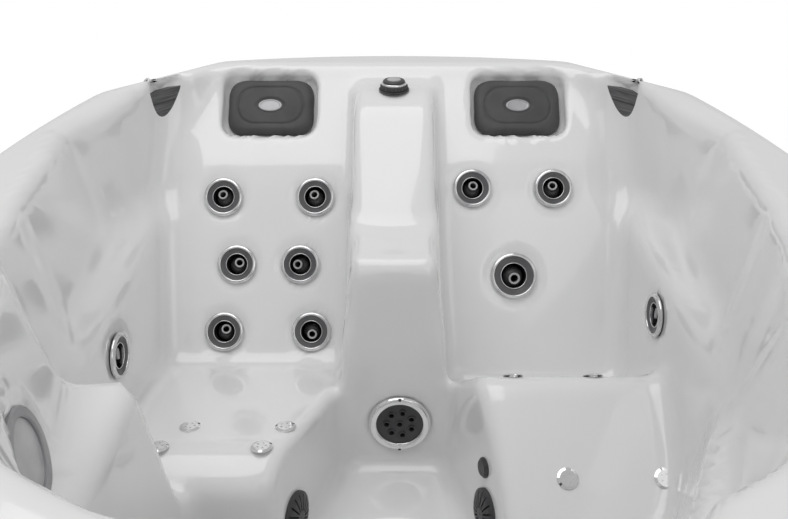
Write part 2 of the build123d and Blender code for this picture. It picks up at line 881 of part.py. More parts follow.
with BuildPart() as suction_covers:
    for plane in (left_suction, right_suction):
        dome = [
            (0, 3.3), (cover_radius - 7, 3.3), (cover_radius - 7, clearance), (cover_radius, clearance),
            (cover_radius, 7), (cover_radius - 12, cover_height - 4), (cover_radius - 30, cover_height - 0.5),
            (0, cover_height),
        ]
        add(turned(dome, plane))
        with BuildSketch(plane.offset(cover_height - 10)):
            with PolarLocations(cover_radius * 0.58, cover_slots):
                Rectangle(cover_radius * 0.62, 3.2)
        extrude(amount=12, mode=Mode.SUBTRACT)
save(suction_covers.part, "suction_covers")

fitting_length = 70
fitting_radius = cover_radius * 0.6
can_radius = light_radius * 0.7
with BuildPart() as wall_fittings:
    for plane in (left_suction, right_suction):
        body = [
            (0, -fitting_length), (fitting_radius, -fitting_length), (fitting_radius, 0),
            (fitting_radius + 12, 0), (fitting_radius + 12, 3), (0, 3),
        ]
        add(turned(body, plane))
    outlet = [
        (0, -50), (return_radius * 0.6, -50), (return_radius * 0.6, clearance), (return_radius, clearance),
        (return_radius, 4), (return_radius - 5, 9), (0, 9),
    ]
    add(turned(outlet, return_plane))
    with BuildSketch(return_plane.offset(5)):
        with PolarLocations(return_radius, 8):
            Circle(3)
    extrude(amount=8, mode=Mode.SUBTRACT)
    add(drill(light_plane, can_radius, -60, 0))
save(wall_fittings.part, "wall_fittings")

lens_radius = light_radius - 16
rim = [
    (lens_radius, clearance), (light_radius, clearance), (light_radius, 7), (light_radius - 3, 9),
    (lens_radius + 2, 9), (lens_radius, 7),
]
save(turned(rim, light_plane), "light_bezel")
glass = [(0, clearance), (lens_radius - clearance, clearance), (lens_radius - clearance, 4), (0, 6)]
save(turned(glass, light_plane), "light_lens")

# Headrest pillows and their oval inserts
crown_radius = ((pillow_width / 2) ** 2 + pillow_crown**2) / (2 * pillow_crown)


def pillow_outline(inset):
    """A pillow's outline: rounded corners and sides drawn in a little at their middles."""
    x = pillow_width / 2 - inset
    y = pillow_length / 2 - inset
    with BuildSketch() as outline:
        with BuildLine():
            ThreePointArc((-x, y), (0, y - pillow_waist), (x, y))
            ThreePointArc((x, y), (x - pillow_waist, 0), (x, -y))
            ThreePointArc((x, -y), (0, pillow_waist - y), (-x, -y))
            ThreePointArc((-x, -y), (pillow_waist - x, 0), (-x, y))
        make_face()
        fillet(outline.vertices(), radius=22)
    return outline.sketch


for label, x in (("left_pillow", -pillow_x), ("right_pillow", pillow_x)):
    face = pillow_plane(x)
    with BuildPart() as pillow:
        with BuildSketch(face.offset(-pillow_thickness)):
            add(pillow_outline(0))
        extrude(amount=pillow_thickness + pillow_crown)
        across = Plane(origin=face.offset(pillow_crown - crown_radius).origin, x_dir=face.x_dir, z_dir=face.y_dir)
        with BuildSketch(across.offset(-pillow_length)):
            Circle(crown_radius)
        extrude(amount=2 * pillow_length, mode=Mode.INTERSECT)
        with BuildSketch(face.offset(-1)):
            add(pillow_outline(24))
            add(pillow_outline(28), mode=Mode.SUBTRACT)
        extrude(amount=2 * pillow_crown, mode=Mode.SUBTRACT)
        with BuildSketch(face.offset(1)):
            SlotOverall(insert_length + 2 * clearance, insert_width + 2 * clearance)
        extrude(amount=2 * pillow_crown, mode=Mode.SUBTRACT)
    save(pillow.part, label)

with BuildPart() as pillow_inserts:
    for x in (-pillow_x, pillow_x):
        with BuildSketch(pillow_plane(x).offset(1)):
            SlotOverall(insert_length, insert_width)
        extrude(amount=pillow_crown)
save(pillow_inserts.part, "pillow_inserts")

# Diverter on the shelf between the pillows
knob_plane = Plane(origin=(0, knob_y, height(shelf_depth)))
valve = [
    (0, -valve_length), (valve_radius, -valve_length), (valve_radius, -wall - clearance - jet_nut_height),
    (valve_radius + 9, -wall - clearance - jet_nut_height), (valve_radius + 9, -wall - clearance),
    (valve_radius, -wall - clearance), (valve_radius, 0), (knob_base_radius, 0), (knob_base_radius, 4), (0, 4),
]
save(turned(valve, knob_plane), "diverter_body")

with BuildPart() as diverter_knob:
    grip = [
        (0, 4.3), (knob_radius + 4, 4.3), (knob_radius + 2, 15), (knob_radius, 15), (knob_radius, 20),
        (knob_radius - 3, 22), (knob_radius - 3, 26), (16, 27), (15, knob_height), (0, knob_height + 1),
    ]
    add(turned(grip, knob_plane))
    with BuildSketch(knob_plane.offset(6)):
        with PolarLocations(knob_radius + 4, 20):
            Circle(1.6)
    extrude(amount=10, mode=Mode.SUBTRACT)
save(diverter_knob.part, "diverter_knob")

# Skimmer: housing, cartridge, weir door and lid
niche_floor = height(niche_depth)
housing_radius = niche_radius - housing_gap
inner_radius = housing_radius - housing_wall
housing_top = rim_height - 12
sill = height(weir_sill)
cartridge_y = niche_y - cartridge_setback
with BuildPart() as filter_housing:
    with BuildSketch(Plane.XY.offset(niche_floor)):
        with Locations((0, niche_y)):
            Circle(housing_radius)
    extrude(amount=housing_top - niche_floor)
    with BuildSketch(Plane.XY.offset(niche_floor + housing_wall)):
        with Locations((0, niche_y)):
            Circle(inner_radius)
    extrude(amount=rim_height, mode=Mode.SUBTRACT)
    with BuildSketch(Plane.XY.offset(niche_floor)):
        with Locations((0, cartridge_y)):
            Circle(20 + clearance)
    extrude(amount=housing_wall, mode=Mode.SUBTRACT)
    with BuildSketch(Plane.XY.offset(sill)):
        with Locations((0, niche_y + housing_radius)):
            Rectangle(weir_width, 60)
    extrude(amount=weir_height, mode=Mode.SUBTRACT)
save(filter_housing.part, "filter_housing")

cartridge_floor = niche_floor + housing_wall + clearance
pleat_count = 40
pleat_depth = 7
with BuildPart() as filter_cartridge:
    with BuildSketch(Plane.XY.offset(cartridge_floor)):
        with Locations((0, cartridge_y)):
            Circle(cartridge_radius)
            Circle(20, mode=Mode.SUBTRACT)
    extrude(amount=cartridge_height)
    with BuildSketch(Plane.XY.offset(cartridge_floor + 14)):
        with Locations((0, cartridge_y)):
            with PolarLocations(cartridge_radius, pleat_count):
                Rectangle(2 * pleat_depth, 4)
    extrude(amount=cartridge_height - 28, mode=Mode.SUBTRACT)
save(filter_cartridge.part, "filter_cartridge")

weir_chord = (inner_radius**2 - (weir_width / 2) ** 2) ** 0.5 - 0.6
weir_axis_y = niche_y + weir_chord - 1.5
weir_axis_z = sill + 2
with BuildPart() as weir_door:
    with BuildSketch(Plane.YZ.offset(-weir_width / 2)):
        with Locations((weir_axis_y, weir_axis_z + weir_height / 2 - 3)):
            Rectangle(3, weir_height - 6)
        with Locations((weir_axis_y, weir_axis_z)):
            Circle(2.5)
    extrude(amount=weir_width)
save(weir_door.part, "weir_door")

with BuildPart() as filter_lid:
    with BuildSketch(Plane.XY.offset(housing_top)):
        with Locations((0, niche_y)):
            Circle(housing_radius)
    extrude(amount=8)
    with BuildSketch(Plane.XY.offset(housing_top + 5)):
        with Locations((0, niche_y)):
            with GridLocations(0, 60, 1, 2):
                SlotOverall(46, 18)
    extrude(amount=4, mode=Mode.SUBTRACT)
    with BuildSketch(Plane.XY.offset(housing_top - 6)):
        with Locations((0, niche_y)):
            Circle(inner_radius - clearance)
            Circle(inner_radius - 4, mode=Mode.SUBTRACT)
    extrude(amount=6)
save(filter_lid.part, "filter_lid")

# Keypad on the near rim
keypad_floor = rim_height - keypad_height
button_places = {"temperature_button": -button_pitch, "jets_button": 0, "light_button": button_pitch}
with BuildPart() as keypad_panel:
    with BuildSketch(Plane.XY.offset(keypad_floor)):
        with Locations((keypad_x, keypad_y)):
            RectangleRounded(keypad_length, keypad_width, 12 - clearance)
    extrude(amount=keypad_height - 0.5)
    with BuildSketch(Plane.XY.offset(keypad_floor + 1)):
        with Locations(*[(keypad_x + x, keypad_y - 14) for x in button_places.values()]):
            Circle(button_radius + clearance)
    extrude(amount=keypad_height, mode=Mode.SUBTRACT)
    with BuildSketch(Plane.XY.offset(rim_height - 1.5)):
        with Locations((keypad_x, keypad_y + 16)):
            RectangleRounded(96, 22, 4)
    extrude(amount=2, mode=Mode.SUBTRACT)
save(keypad_panel.part, "keypad_panel")

for label, x in button_places.items():
    with BuildPart() as button:
        with BuildSketch(Plane.XY.offset(keypad_floor + 1 + button_travel + 0.2)):
            with Locations((keypad_x + x, keypad_y - 14)):
                Circle(button_radius)
        extrude(amount=keypad_height - 1 - button_travel - 0.2 + 0.8)
    save(button.part, label)

# Pump: wet end, impeller and motor, on one axis along X
pump_back = pump_x - pump_housing_length / 2
pump_front = pump_x + pump_housing_length / 2
pump_plane = Plane(origin=(pump_x, equipment_y, pump_axis_height), x_dir=(0, 1, 0), z_dir=(1, 0, 0))
half_housing = pump_housing_length / 2
half_cavity = 14
discharge_top = pump_axis_height + pump_housing_radius + 8
with BuildPart() as pump_housing:
    with BuildSketch(pump_plane.offset(-half_housing)):
        Circle(pump_housing_radius)
    extrude(amount=pump_housing_length)
    with BuildSketch(Plane.XY.offset(pump_axis_height)):
        with Locations((pump_x, equipment_y)):
            Circle(pipe_radius + 4)
    extrude(amount=discharge_top - pump_axis_height)
    with BuildSketch(Plane.XY.offset(base_height)):
        with Locations((pump_x, equipment_y)):
            Rectangle(50, 100)
    extrude(amount=14)
    add(drill(pump_plane, impeller_radius + 3, -half_cavity, half_cavity), mode=Mode.SUBTRACT)
    add(drill(pump_plane, shaft_radius + clearance, -half_housing, 0), mode=Mode.SUBTRACT)
    add(drill(pump_plane, pipe_radius - 6, 0, half_housing), mode=Mode.SUBTRACT)
    with BuildSketch(Plane.XY.offset(pump_axis_height)):
        with Locations((pump_x, equipment_y)):
            Circle(9)
    extrude(amount=discharge_top, mode=Mode.SUBTRACT)
save(pump_housing.part, "pump_housing")

with BuildPart() as pump_impeller:
    add(drill(pump_plane, shaft_radius, -half_housing - 28, 0))
    add(drill(pump_plane, impeller_radius, -half_cavity + 4, -half_cavity + 8))
    with BuildSketch(pump_plane.offset(-half_cavity + 8)):
        with PolarLocations(impeller_radius * 0.6, 6):
            Rectangle(impeller_radius * 0.7, 4)
    extrude(amount=12)
save(pump_impeller.part, "pump_impeller")

with BuildPart() as pump_motor:
    with BuildSketch(pump_plane.offset(-half_housing - pump_motor_length)):
        Circle(pump_motor_radius)
        with PolarLocations(pump_motor_radius, 24):
            Rectangle(8, 7, mode=Mode.SUBTRACT)
    extrude(amount=pump_motor_length)
    with BuildSketch(Plane.XY.offset(base_height)):
        with Locations((pump_back - pump_motor_length / 2, equipment_y)):
            Rectangle(150, 90)
    extrude(amount=20)
    add(drill(pump_plane, shaft_radius + clearance, -half_housing - 32, -half_housing), mode=Mode.SUBTRACT)
save(pump_motor.part, "pump_motor")

# Control pack, heater and blower
pack_x = -305
heater_x = -130
pack_top = base_height + pack_height
with BuildPart() as control_pack:
    with BuildSketch(Plane.XY.offset(base_height)):
        with Locations((pack_x, equipment_y)):
            Rectangle(pack_length, pack_width)
    extrude(amount=pack_height)
    fillet(control_pack.edges().filter_by(Axis.Z), radius=12)
save(control_pack.part, "control_pack")

heater_plane = Plane(origin=(heater_x, equipment_y, heater_height), x_dir=(0, 1, 0), z_dir=(1, 0, 0))
with BuildPart() as heater:
    with BuildSketch(heater_plane.offset(-heater_length / 2)):
        Circle(heater_radius)
    extrude(amount=heater_length)
    for end in (-heater_length / 2, heater_length / 2 - 16):
        with BuildSketch(heater_plane.offset(end)):
            Circle(heater_radius + 8)
        extrude(amount=16)
    with BuildSketch(Plane.XY.offset(pack_top)):
        with Locations((heater_x - heater_length / 2 + 35, equipment_y), (pack_x + pack_length / 2 - 18, equipment_y)):
            Rectangle(20, 50)
    extrude(amount=heater_height - pack_top)
save(heater.part, "heater")

blower_x = 404
blower_y = equipment_y + 65
with BuildPart() as air_blower:
    with BuildSketch(Plane.XY.offset(base_height)):
        with Locations((blower_x, blower_y)):
            Circle(blower_radius)
    extrude(amount=blower_height)
    with BuildSketch(Plane.XY.offset(base_height + blower_height)):
        with Locations((blower_x, blower_y)):
            Circle(pipe_radius)
    extrude(amount=36)
save(air_blower.part, "air_blower")


def pipe(points, radius):
    """A rigid pipe along straight runs with bends."""
    with BuildPart() as run:
        with BuildLine() as route:
            FilletPolyline(*points, radius=radius)
        with BuildSketch(Plane(origin=route.line @ 0, z_dir=route.line % 0)):
            Circle(pipe_radius)
        sweep(path=route.line)
    return run.part


def beyond(plane, distance):
    """A point behind a plane's origin, against its z."""
    return plane.offset(-distance).origin


# Pipework: suction side, pressure side, and a manifold behind each seat back
right_start = beyond(right_suction, fitting_length)
right_turn = beyond(right_suction, fitting_length + 45)
left_start = beyond(left_suction, fitting_length)
left_turn = beyond(left_suction, fitting_length + 45)
cross_y = footwell_back_y + 82
cross_z = base_height + 58
foot_start = beyond(foot_plane, jet_tail)
foot_turn = beyond(foot_plane, jet_tail + 60)
left_manifold = seat_back_plane(left_seat_x, middle_row_depth).offset(-jet_tail)
right_manifold = seat_back_plane(right_seat_x, middle_row_depth).offset(-jet_tail)
manifold_y = left_manifold.origin.Y + 14
manifold_z = left_manifold.origin.Z - 10
side_pipe = bucket_side + 67
side_pipe_z = heater_height
hip_inner = bucket_side + dish_depth + jet_tail
hip_outer = hip_inner + 32
with BuildPart() as pipework:
    add(pipe([
        right_start, right_turn, (right_turn.X, right_turn.Y - 170, pump_axis_height),
        (right_turn.X, equipment_y, pump_axis_height), (pump_front, equipment_y, pump_axis_height),
    ], 30))
    add(pipe([
        left_start, left_turn, (left_turn.X - 10, cross_y - 130, cross_z), (left_turn.X + 70, cross_y, cross_z),
        (right_turn.X - 70, cross_y, cross_z), (right_turn.X, cross_y - 120, cross_z),
        (right_turn.X, right_turn.Y - 200, pump_axis_height),
    ], 40))
    add(pipe([
        (pump_x, equipment_y, discharge_top), (pump_x, equipment_y, heater_height),
        (heater_x + heater_length / 2, equipment_y, heater_height),
    ], 40))
    add(pipe([
        (heater_x - heater_length / 2, equipment_y, heater_height), (heater_x - 270, equipment_y, side_pipe_z),
        (-480, equipment_y + 75, side_pipe_z), (25 - side_pipe, equipment_y + 225, side_pipe_z),
        (-side_pipe, equipment_y + 365, side_pipe_z), (-side_pipe, manifold_y - 270, side_pipe_z),
        (65 - side_pipe, manifold_y, manifold_z), (left_seat_x - manifold_width / 2 + 20, manifold_y, manifold_z),
    ], 60))
    crossing = Plane(
        origin=(left_seat_x + manifold_width / 2 - 20, manifold_y, manifold_z), x_dir=(0, 1, 0), z_dir=(1, 0, 0)
    )
    add(drill(crossing, pipe_radius, 0, right_seat_x - left_seat_x - manifold_width + 40))
    add(pipe([foot_start, foot_turn, (foot_turn.X, manifold_y, manifold_z)], 40))
    add(pipe([
        (right_seat_x + manifold_width / 2 - 20, manifold_y, manifold_z), (side_pipe - 65, manifold_y, manifold_z),
        (side_pipe, half_length - hip_right_back + 100, side_pipe_z + 10),
        (side_pipe, half_length - hip_right_back - 20, side_pipe_z),
    ], 60))
    for manifold in (left_manifold, right_manifold):
        with BuildSketch(manifold):
            RectangleRounded(manifold_width, manifold_length, 20)
        extrude(amount=-manifold_thickness)
    for side, back, depth in ((-1, hip_left_back, hip_left_depth), (1, hip_right_back, hip_right_depth)):
        y = half_length - back
        with BuildSketch(Plane.XZ.offset(-y - 30)):
            with BuildLine():
                Polyline(
                    (side * hip_inner, height(depth) + 25), (side * hip_outer, height(depth) + 25),
                    (side * hip_outer, side_pipe_z - 20), (side * side_pipe, side_pipe_z - 20),
                    (side * side_pipe, side_pipe_z + 20), (side * hip_inner, side_pipe_z + 20),
                    close=True,
                )
            make_face()
        extrude(amount=60)
save(pipework.part, "pipework")

# Drain valve and cable gland in the near panel
valve_bore = 8
gland_bore = 6
with BuildPart() as cabinet_fittings:
    stem = [
        (valve_bore, -50), (drain_radius, -50), (drain_radius, 0), (drain_radius + 8, 0),
        (drain_radius + 8, 5), (drain_radius + 4, 8), (valve_bore, 8),
    ]
    add(turned(stem, drain_plane))
    neck = [
        (gland_bore, -30), (gland_radius, -30), (gland_radius, 0), (gland_radius + 6, 0),
        (gland_radius + 6, 4), (gland_radius + 1, 9), (gland_bore, 9),
    ]
    add(turned(neck, gland_plane))
save(cabinet_fittings.part, "cabinet_fittings")
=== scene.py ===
"""The looks of a compact hot tub: glossy acrylic shell, massage jets, headrests, fittings and cabinet.

Shapes are worked out in millimetres in the CAD frame and stored in metres. A depth is measured down from
the top of the rim. A field is a distance that is positive in the air and negative in the material.
"""

import json
import logging
import math
from dataclasses import dataclass, field
from enum import Enum

import bmesh
import bpy
import numpy as np
from mathutils import Matrix, Vector


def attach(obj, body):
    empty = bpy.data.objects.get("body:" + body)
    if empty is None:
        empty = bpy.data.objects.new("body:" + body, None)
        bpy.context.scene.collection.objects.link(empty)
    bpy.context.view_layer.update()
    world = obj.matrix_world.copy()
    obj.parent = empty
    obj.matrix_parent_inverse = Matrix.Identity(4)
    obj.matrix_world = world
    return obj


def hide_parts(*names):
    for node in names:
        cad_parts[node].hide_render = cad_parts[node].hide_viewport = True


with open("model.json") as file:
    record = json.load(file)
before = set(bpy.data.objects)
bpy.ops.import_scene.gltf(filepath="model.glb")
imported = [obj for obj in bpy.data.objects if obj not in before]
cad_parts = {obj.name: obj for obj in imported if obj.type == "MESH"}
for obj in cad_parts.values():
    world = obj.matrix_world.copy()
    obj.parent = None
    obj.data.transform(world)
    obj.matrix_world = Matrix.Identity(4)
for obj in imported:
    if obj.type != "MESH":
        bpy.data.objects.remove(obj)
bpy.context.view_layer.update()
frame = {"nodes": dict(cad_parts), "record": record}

logging.basicConfig(level=logging.INFO, format="%(message)s")
log = logging.getLogger("hot_tub")

MM = 0.001
RIM_HEIGHT = 850.0
HALF_WIDTH = 760.0
HALF_LENGTH = 910.0
SIDE_SPAN = 594.0
SIDE_BOW = 77.0
END_SPAN = 451.0
END_BOW = 54.0
SEAT_TOP = 744.4
RECLINE = math.radians(34)
BUCKET_SIDE = 558.0
SADDLE_HALF = 100.0
DISH_DEPTH = 4.0
DISH_SHARE = 61 / 95
FOOT_DISH_RADIUS = 78.0
LIGHT_DISH_RADIUS = 76.0
FOOT_BORE_RADIUS = 57.0
WELL_DEPTH = 770.0
WELL_DRAFT = 6.0
FOOT_DEPTH = 656.0
PILLOW_X = 314.0
PILLOW_PITCH = math.radians(47.4)
NICHE_Y = -747.0
NICHE_RADIUS = 110.0
NICHE_DEPTH = 330.0
KEYPAD_X = 290.0
KEYPAD_Y = -770.0


class JetSize(Enum):
    """The two sizes of seat jet: bezel diameter, barrel radius and ball radius."""

    MEDIUM = (95.0, 34.0, 22.0)
    LARGE = (112.0, 40.0, 27.0)


@dataclass(frozen=True)
class Place:
    """A place on the tub: its origin, the direction across it, and the direction that it faces."""

    origin: tuple[float, float, float]
    across: tuple[float, float, float]
    facing: tuple[float, float, float]

    def axes(self) -> np.ndarray:
        """Returns: the across, up and facing directions as the rows of an array."""
        facing = np.array(self.facing, dtype=float)
        facing /= np.linalg.norm(facing)
        across = np.array(self.across, dtype=float)
        across -= facing * across.dot(facing)
        across /= np.linalg.norm(across)
        return np.array([across, np.cross(facing, across), facing])

    def local(self, points: np.ndarray) -> tuple[np.ndarray, np.ndarray, np.ndarray]:
        """Distances of points from the origin along the three axes.

        Args:
            points: an array of points, one a row.
        Returns: the distances across, up and out.
        """
        moved = (points - np.array(self.origin)) @ self.axes().T
        return moved[:, 0], moved[:, 1], moved[:, 2]

    def raised(self, height: float) -> "Place":
        """Returns: the same place moved out along its facing."""
        origin = np.array(self.origin) + height * self.axes()[2]
        return Place(tuple(origin), self.across, self.facing)

    def matrix(self) -> Matrix:
        """Returns: the transform, in metres, from the place's own axes to the tub's."""
        across, up, facing = self.axes()
        rows = [(across[i], up[i], facing[i], self.origin[i] * MM) for i in range(3)]
        return Matrix((*rows, (0, 0, 0, 1)))


def seat_back_y(depth: float) -> float:
    """Returns: where the reclined seat back lies at a depth."""
    return SEAT_TOP - math.tan(RECLINE) * depth


def seat_back_place(x: float, depth: float) -> Place:
    """Returns: the dish floor of a jet in a seat back."""
    facing = (0, -math.cos(RECLINE), math.sin(RECLINE))
    return Place((x, seat_back_y(depth), RIM_HEIGHT - depth), (1, 0, 0), facing).raised(-DISH_DEPTH)


def side_place(side: int, back: float, depth: float) -> Place:
    """Returns: the dish floor of a jet in a side wall, on side -1 or 1."""
    origin = (side * BUCKET_SIDE, HALF_LENGTH - back, RIM_HEIGHT - depth)
    return Place(origin, (0, side, 0), (-side, 0, 0)).raised(-DISH_DEPTH)


def pillow_place(x: float) -> Place:
    """Returns: the plane of a headrest's front."""
    facing = (0, -math.sin(PILLOW_PITCH), math.cos(PILLOW_PITCH))
    return Place((x, 750, 762), (1, 0, 0), facing)


def foot_place() -> Place:
    """Returns: the dish floor of the foot jet, on the drafted back wall of the footwell."""
    draft = math.radians(WELL_DRAFT)
    y = 192 + (WELL_DEPTH - FOOT_DEPTH) * math.tan(draft)
    facing = (0, -math.cos(draft), math.sin(draft))
    return Place((13, y, RIM_HEIGHT - FOOT_DEPTH), (-1, 0, 0), facing).raised(-DISH_DEPTH)


def light_place() -> Place:
    """Returns: the face of the underwater light in the left wall."""
    turn = math.radians(15)
    draft = math.radians(9)
    x = -(0.693 * 672 + 76 * math.tan(draft))
    facing = (math.cos(turn) * math.cos(draft), math.sin(turn) * math.cos(draft), math.sin(draft))
    return Place((x, -394, 676), (-math.sin(turn), math.cos(turn), 0), facing)


JETS: dict[str, tuple[Place, JetSize, float]] = {
    "upper_left": (seat_back_place(-417, 258), JetSize.MEDIUM, 112),
    "upper_right": (seat_back_place(-193, 258), JetSize.MEDIUM, 112),
    "middle_left": (seat_back_place(-382, 395), JetSize.MEDIUM, 38),
    "middle_right": (seat_back_place(-228, 395), JetSize.MEDIUM, 180),
    "lower_left": (seat_back_place(-410, 530), JetSize.MEDIUM, 60),
    "lower_right": (seat_back_place(-200, 530), JetSize.MEDIUM, -75),
    "lounger_left": (seat_back_place(192, 240), JetSize.MEDIUM, 71),
    "lounger_right": (seat_back_place(390, 240), JetSize.MEDIUM, 97),
    "lounger_large": (seat_back_place(291, 418), JetSize.LARGE, -72),
    "hip_left": (side_place(-1, 790, 400), JetSize.MEDIUM, 180),
    "hip_right": (side_place(1, 679, 376), JetSize.MEDIUM, 0),
}


def smooth_min(a: np.ndarray, b: np.ndarray, reach: float) -> np.ndarray:
    """The lower of two fields, with a fillet where they meet.

    Args:
        a: one field.
        b: the other field.
        reach: how far from the meeting line the fillet starts.
    Returns: the joined field.
    """
    share = np.maximum(reach - np.abs(a - b), 0) / reach
    return np.minimum(a, b) - share * share * reach / 4


def smooth_max(a: np.ndarray, b: np.ndarray, reach: float) -> np.ndarray:
    """Returns: the higher of two fields, with a fillet where they meet."""
    return -smooth_min(-a, -b, reach)


def smooth_all(fields: list[np.ndarray], reach: float) -> np.ndarray:
    """Returns: the lowest of several fields, with fillets."""
    joined = fields[0]
    for other in fields[1:]:
        joined = smooth_min(joined, other, reach)
    return joined


def edge_fields(points: np.ndarray, corners: list, level: float, draft: float) -> list[np.ndarray]:
    """Distances in from the drafted walls that stand on the edges of a clockwise outline.

    Args:
        points: where the distances are wanted.
        corners: the outline's corners at the level, in order.
        level: the depth at which the outline was drawn.
        draft: the walls' lean outward, in degrees.
    Returns: one field for each edge.
    """
    lean = math.radians(draft)
    rise = level - (RIM_HEIGHT - points[:, 2])
    fields = []
    for start, end in zip(corners, corners[1:] + corners[:1]):
        run = np.array(end, dtype=float) - np.array(start)
        run /= np.linalg.norm(run)
        inward = (points[:, 0] - start[0]) * run[1] - (points[:, 1] - start[1]) * run[0]
        fields.append((inward + rise * math.tan(lean)) * math.cos(lean))
    return fields


def slope_field(points: np.ndarray, start: tuple[float, float], end: tuple[float, float]) -> np.ndarray:
    """The distance above a plane that runs straight across the tub.

    Args:
        points: where the distance is wanted.
        start: the y and depth of one point of the plane's line, the nearer to the far end.
        end: the y and depth of the other point.
    Returns: the field, positive on the upper or nearer side.
    """
    run = np.array(end, dtype=float) - np.array(start)
    run /= np.linalg.norm(run)
    depth = RIM_HEIGHT - points[:, 2]
    return (depth - start[1]) * run[0] - (points[:, 1] - start[0]) * run[1]


@dataclass
class TubForm:
    """The shell's form as one field of smoothly joined hollows."""

    fillet: float = 42.0
    rim_edge: float = 18.0

    def outline(self, points: np.ndarray) -> np.ndarray:
        """Returns: how far in points lie from the rim's bowed octagon."""
        x = np.abs(points[:, 0])
        y = np.abs(points[:, 1])
        side = (SIDE_SPAN**2 + SIDE_BOW**2) / (2 * SIDE_BOW)
        end = (END_SPAN**2 + END_BOW**2) / (2 * END_BOW)
        from_side = side - np.hypot(x - (HALF_WIDTH - side), y)
        from_end = end - np.hypot(x, y - (HALF_LENGTH - end))
        corner_x = HALF_WIDTH - SIDE_BOW
        corner_y = HALF_LENGTH - END_BOW
        run = np.array([corner_x - END_SPAN, SIDE_SPAN - corner_y])
        run /= np.linalg.norm(run)
        from_corner = (x - END_SPAN) * run[1] - (y - corner_y) * run[0]
        return smooth_all([from_side, from_end, from_corner], 10)

    def outward(self, points: np.ndarray) -> tuple[np.ndarray, np.ndarray]:
        """Returns: how far in points lie from the rim's outline, and the level direction out to it."""
        inside = self.outline(points)
        across = self.outline(points + np.array([0.5, 0, 0])) - inside
        along = self.outline(points + np.array([0, 0.5, 0])) - inside
        slope = np.stack([across, along, np.zeros(len(points))], axis=1)
        return inside, -slope / np.maximum(np.linalg.norm(slope, axis=1), 1e-6)[:, None]

    def basin(self, points: np.ndarray) -> np.ndarray:
        """Returns: the field of the upper bowl and the slope behind the headrests."""
        depth = RIM_HEIGHT - points[:, 2]
        half = [
            (430, 556), (591, 471), (632, 381), (601, 121), (538, -149),
            (494, -285), (464, -399), (380, -530), (228, -610),
        ]
        corners = half + [(-x, y) for x, y in reversed(half)]
        walls = smooth_all(edge_fields(points, corners, 250, 9), 30)
        bowl = smooth_min(walls, 250 - depth, 60)
        behind = slope_field(points, (825, 0), (609.5, 200))
        lower = slope_field(points, (609.5, 200), (575.8, 250))
        half = [(423, 825), (538, 695), (625, 516), (605, 0)]
        corners = half + [(-x, y) for x, y in reversed(half)]
        sides = smooth_all(edge_fields(points, corners, 100, 4), 60)
        slope = smooth_all([smooth_max(behind, lower, 8), sides, 250 - depth], 46)
        return smooth_max(bowl, slope, 30)

    def upright(self, points: np.ndarray) -> np.ndarray:
        """Returns: the field of the left seat."""
        back = slope_field(points, (seat_back_y(200), 200), (seat_back_y(592), 592))
        pan = slope_field(points, (345, 592), (-45, 509))
        front = slope_field(points, (-45, 509), (-120, 560))
        pan = smooth_max(pan, front, 40)
        corners = [(-BUCKET_SIDE, 700), (-SADDLE_HALF, 700), (-SADDLE_HALF, -130), (-BUCKET_SIDE, -130)]
        sides = edge_fields(points, corners, 400, 3)
        return smooth_all([back, pan, *sides], self.fillet)

    def lounger(self, points: np.ndarray) -> np.ndarray:
        """Returns: the field of the right seat, from its back to its foot pocket."""
        depth = RIM_HEIGHT - points[:, 2]
        back = slope_field(points, (seat_back_y(200), 200), (seat_back_y(640), 640))
        thigh = slope_field(points, (312.7, 640), (110, 440))
        calf = slope_field(points, (110, 440), (-261, 700))
        legs = smooth_min(calf, 700 - depth, self.fillet)
        low = smooth_max(thigh, legs, 46)
        corners = [
            (SADDLE_HALF, 700), (BUCKET_SIDE, 700), (BUCKET_SIDE, -105),
            (458, -301), (279, -611), (SADDLE_HALF, -611),
        ]
        sides = edge_fields(points, corners, 400, 3)
        return smooth_all([back, low, *sides], self.fillet)

    def saddle(self, points: np.ndarray) -> np.ndarray:
        """Returns: the distance inside the raised saddle between the seats, arched towards its end."""
        x, y = points[:, 0], points[:, 1]
        shelf = RIM_HEIGHT - points[:, 2] - 38
        across = np.clip(np.abs(x) / SADDLE_HALF, 0, 1.4)
        crown = 34 * across**2 * np.clip((620 - y) / 450, 0, 1)
        ramp = -slope_field(points, (678, 38), (172, 430)) - crown
        top = smooth_min(shelf, ramp, 40)
        flare = 22 * np.clip((300 - y) / 130, 0, 1)
        end = y - 172 - 26 * across**2
        return smooth_all([top, SADDLE_HALF + flare - np.abs(x), end], 34)

    def footwell(self, points: np.ndarray) -> np.ndarray:
        """Returns: the field of the deep well for the feet, made of three overlapping parts."""
        parts = [
            [(-112, 192), (112, 192), (205, -120), (205, -400), (-222, -400), (-222, -130)],
            [(-370, -130), (0, -130), (0, -400), (-370, -400)],
            [(-90, -300), (205, -300), (205, -570), (-90, -570)],
        ]
        floor = WELL_DEPTH - (RIM_HEIGHT - points[:, 2])
        joined = None
        for corners in parts:
            walls = edge_fields(points, corners, WELL_DEPTH, WELL_DRAFT)
            part = smooth_all([*walls, floor], self.fillet)
            joined = part if joined is None else smooth_max(joined, part, 40)
        return joined

    def pocket(self, points: np.ndarray, x: float) -> np.ndarray:
        """Returns: the field of a headrest's slanted recess."""
        across, up, out = pillow_place(x).local(points)
        length = smooth_min(119 - np.abs(across), 84 - np.abs(up), 40)
        return smooth_min(length, out + 22.3, 12)

    def dish(self, points: np.ndarray, place: Place, radius: float, reach: float = 26.0) -> np.ndarray:
        """Returns: the field of a shallow round recess, open a short way in front."""
        across, up, out = place.local(points)
        round_edge = radius - np.hypot(across, up)
        return smooth_min(smooth_min(round_edge, out, 9), reach - out, 6)

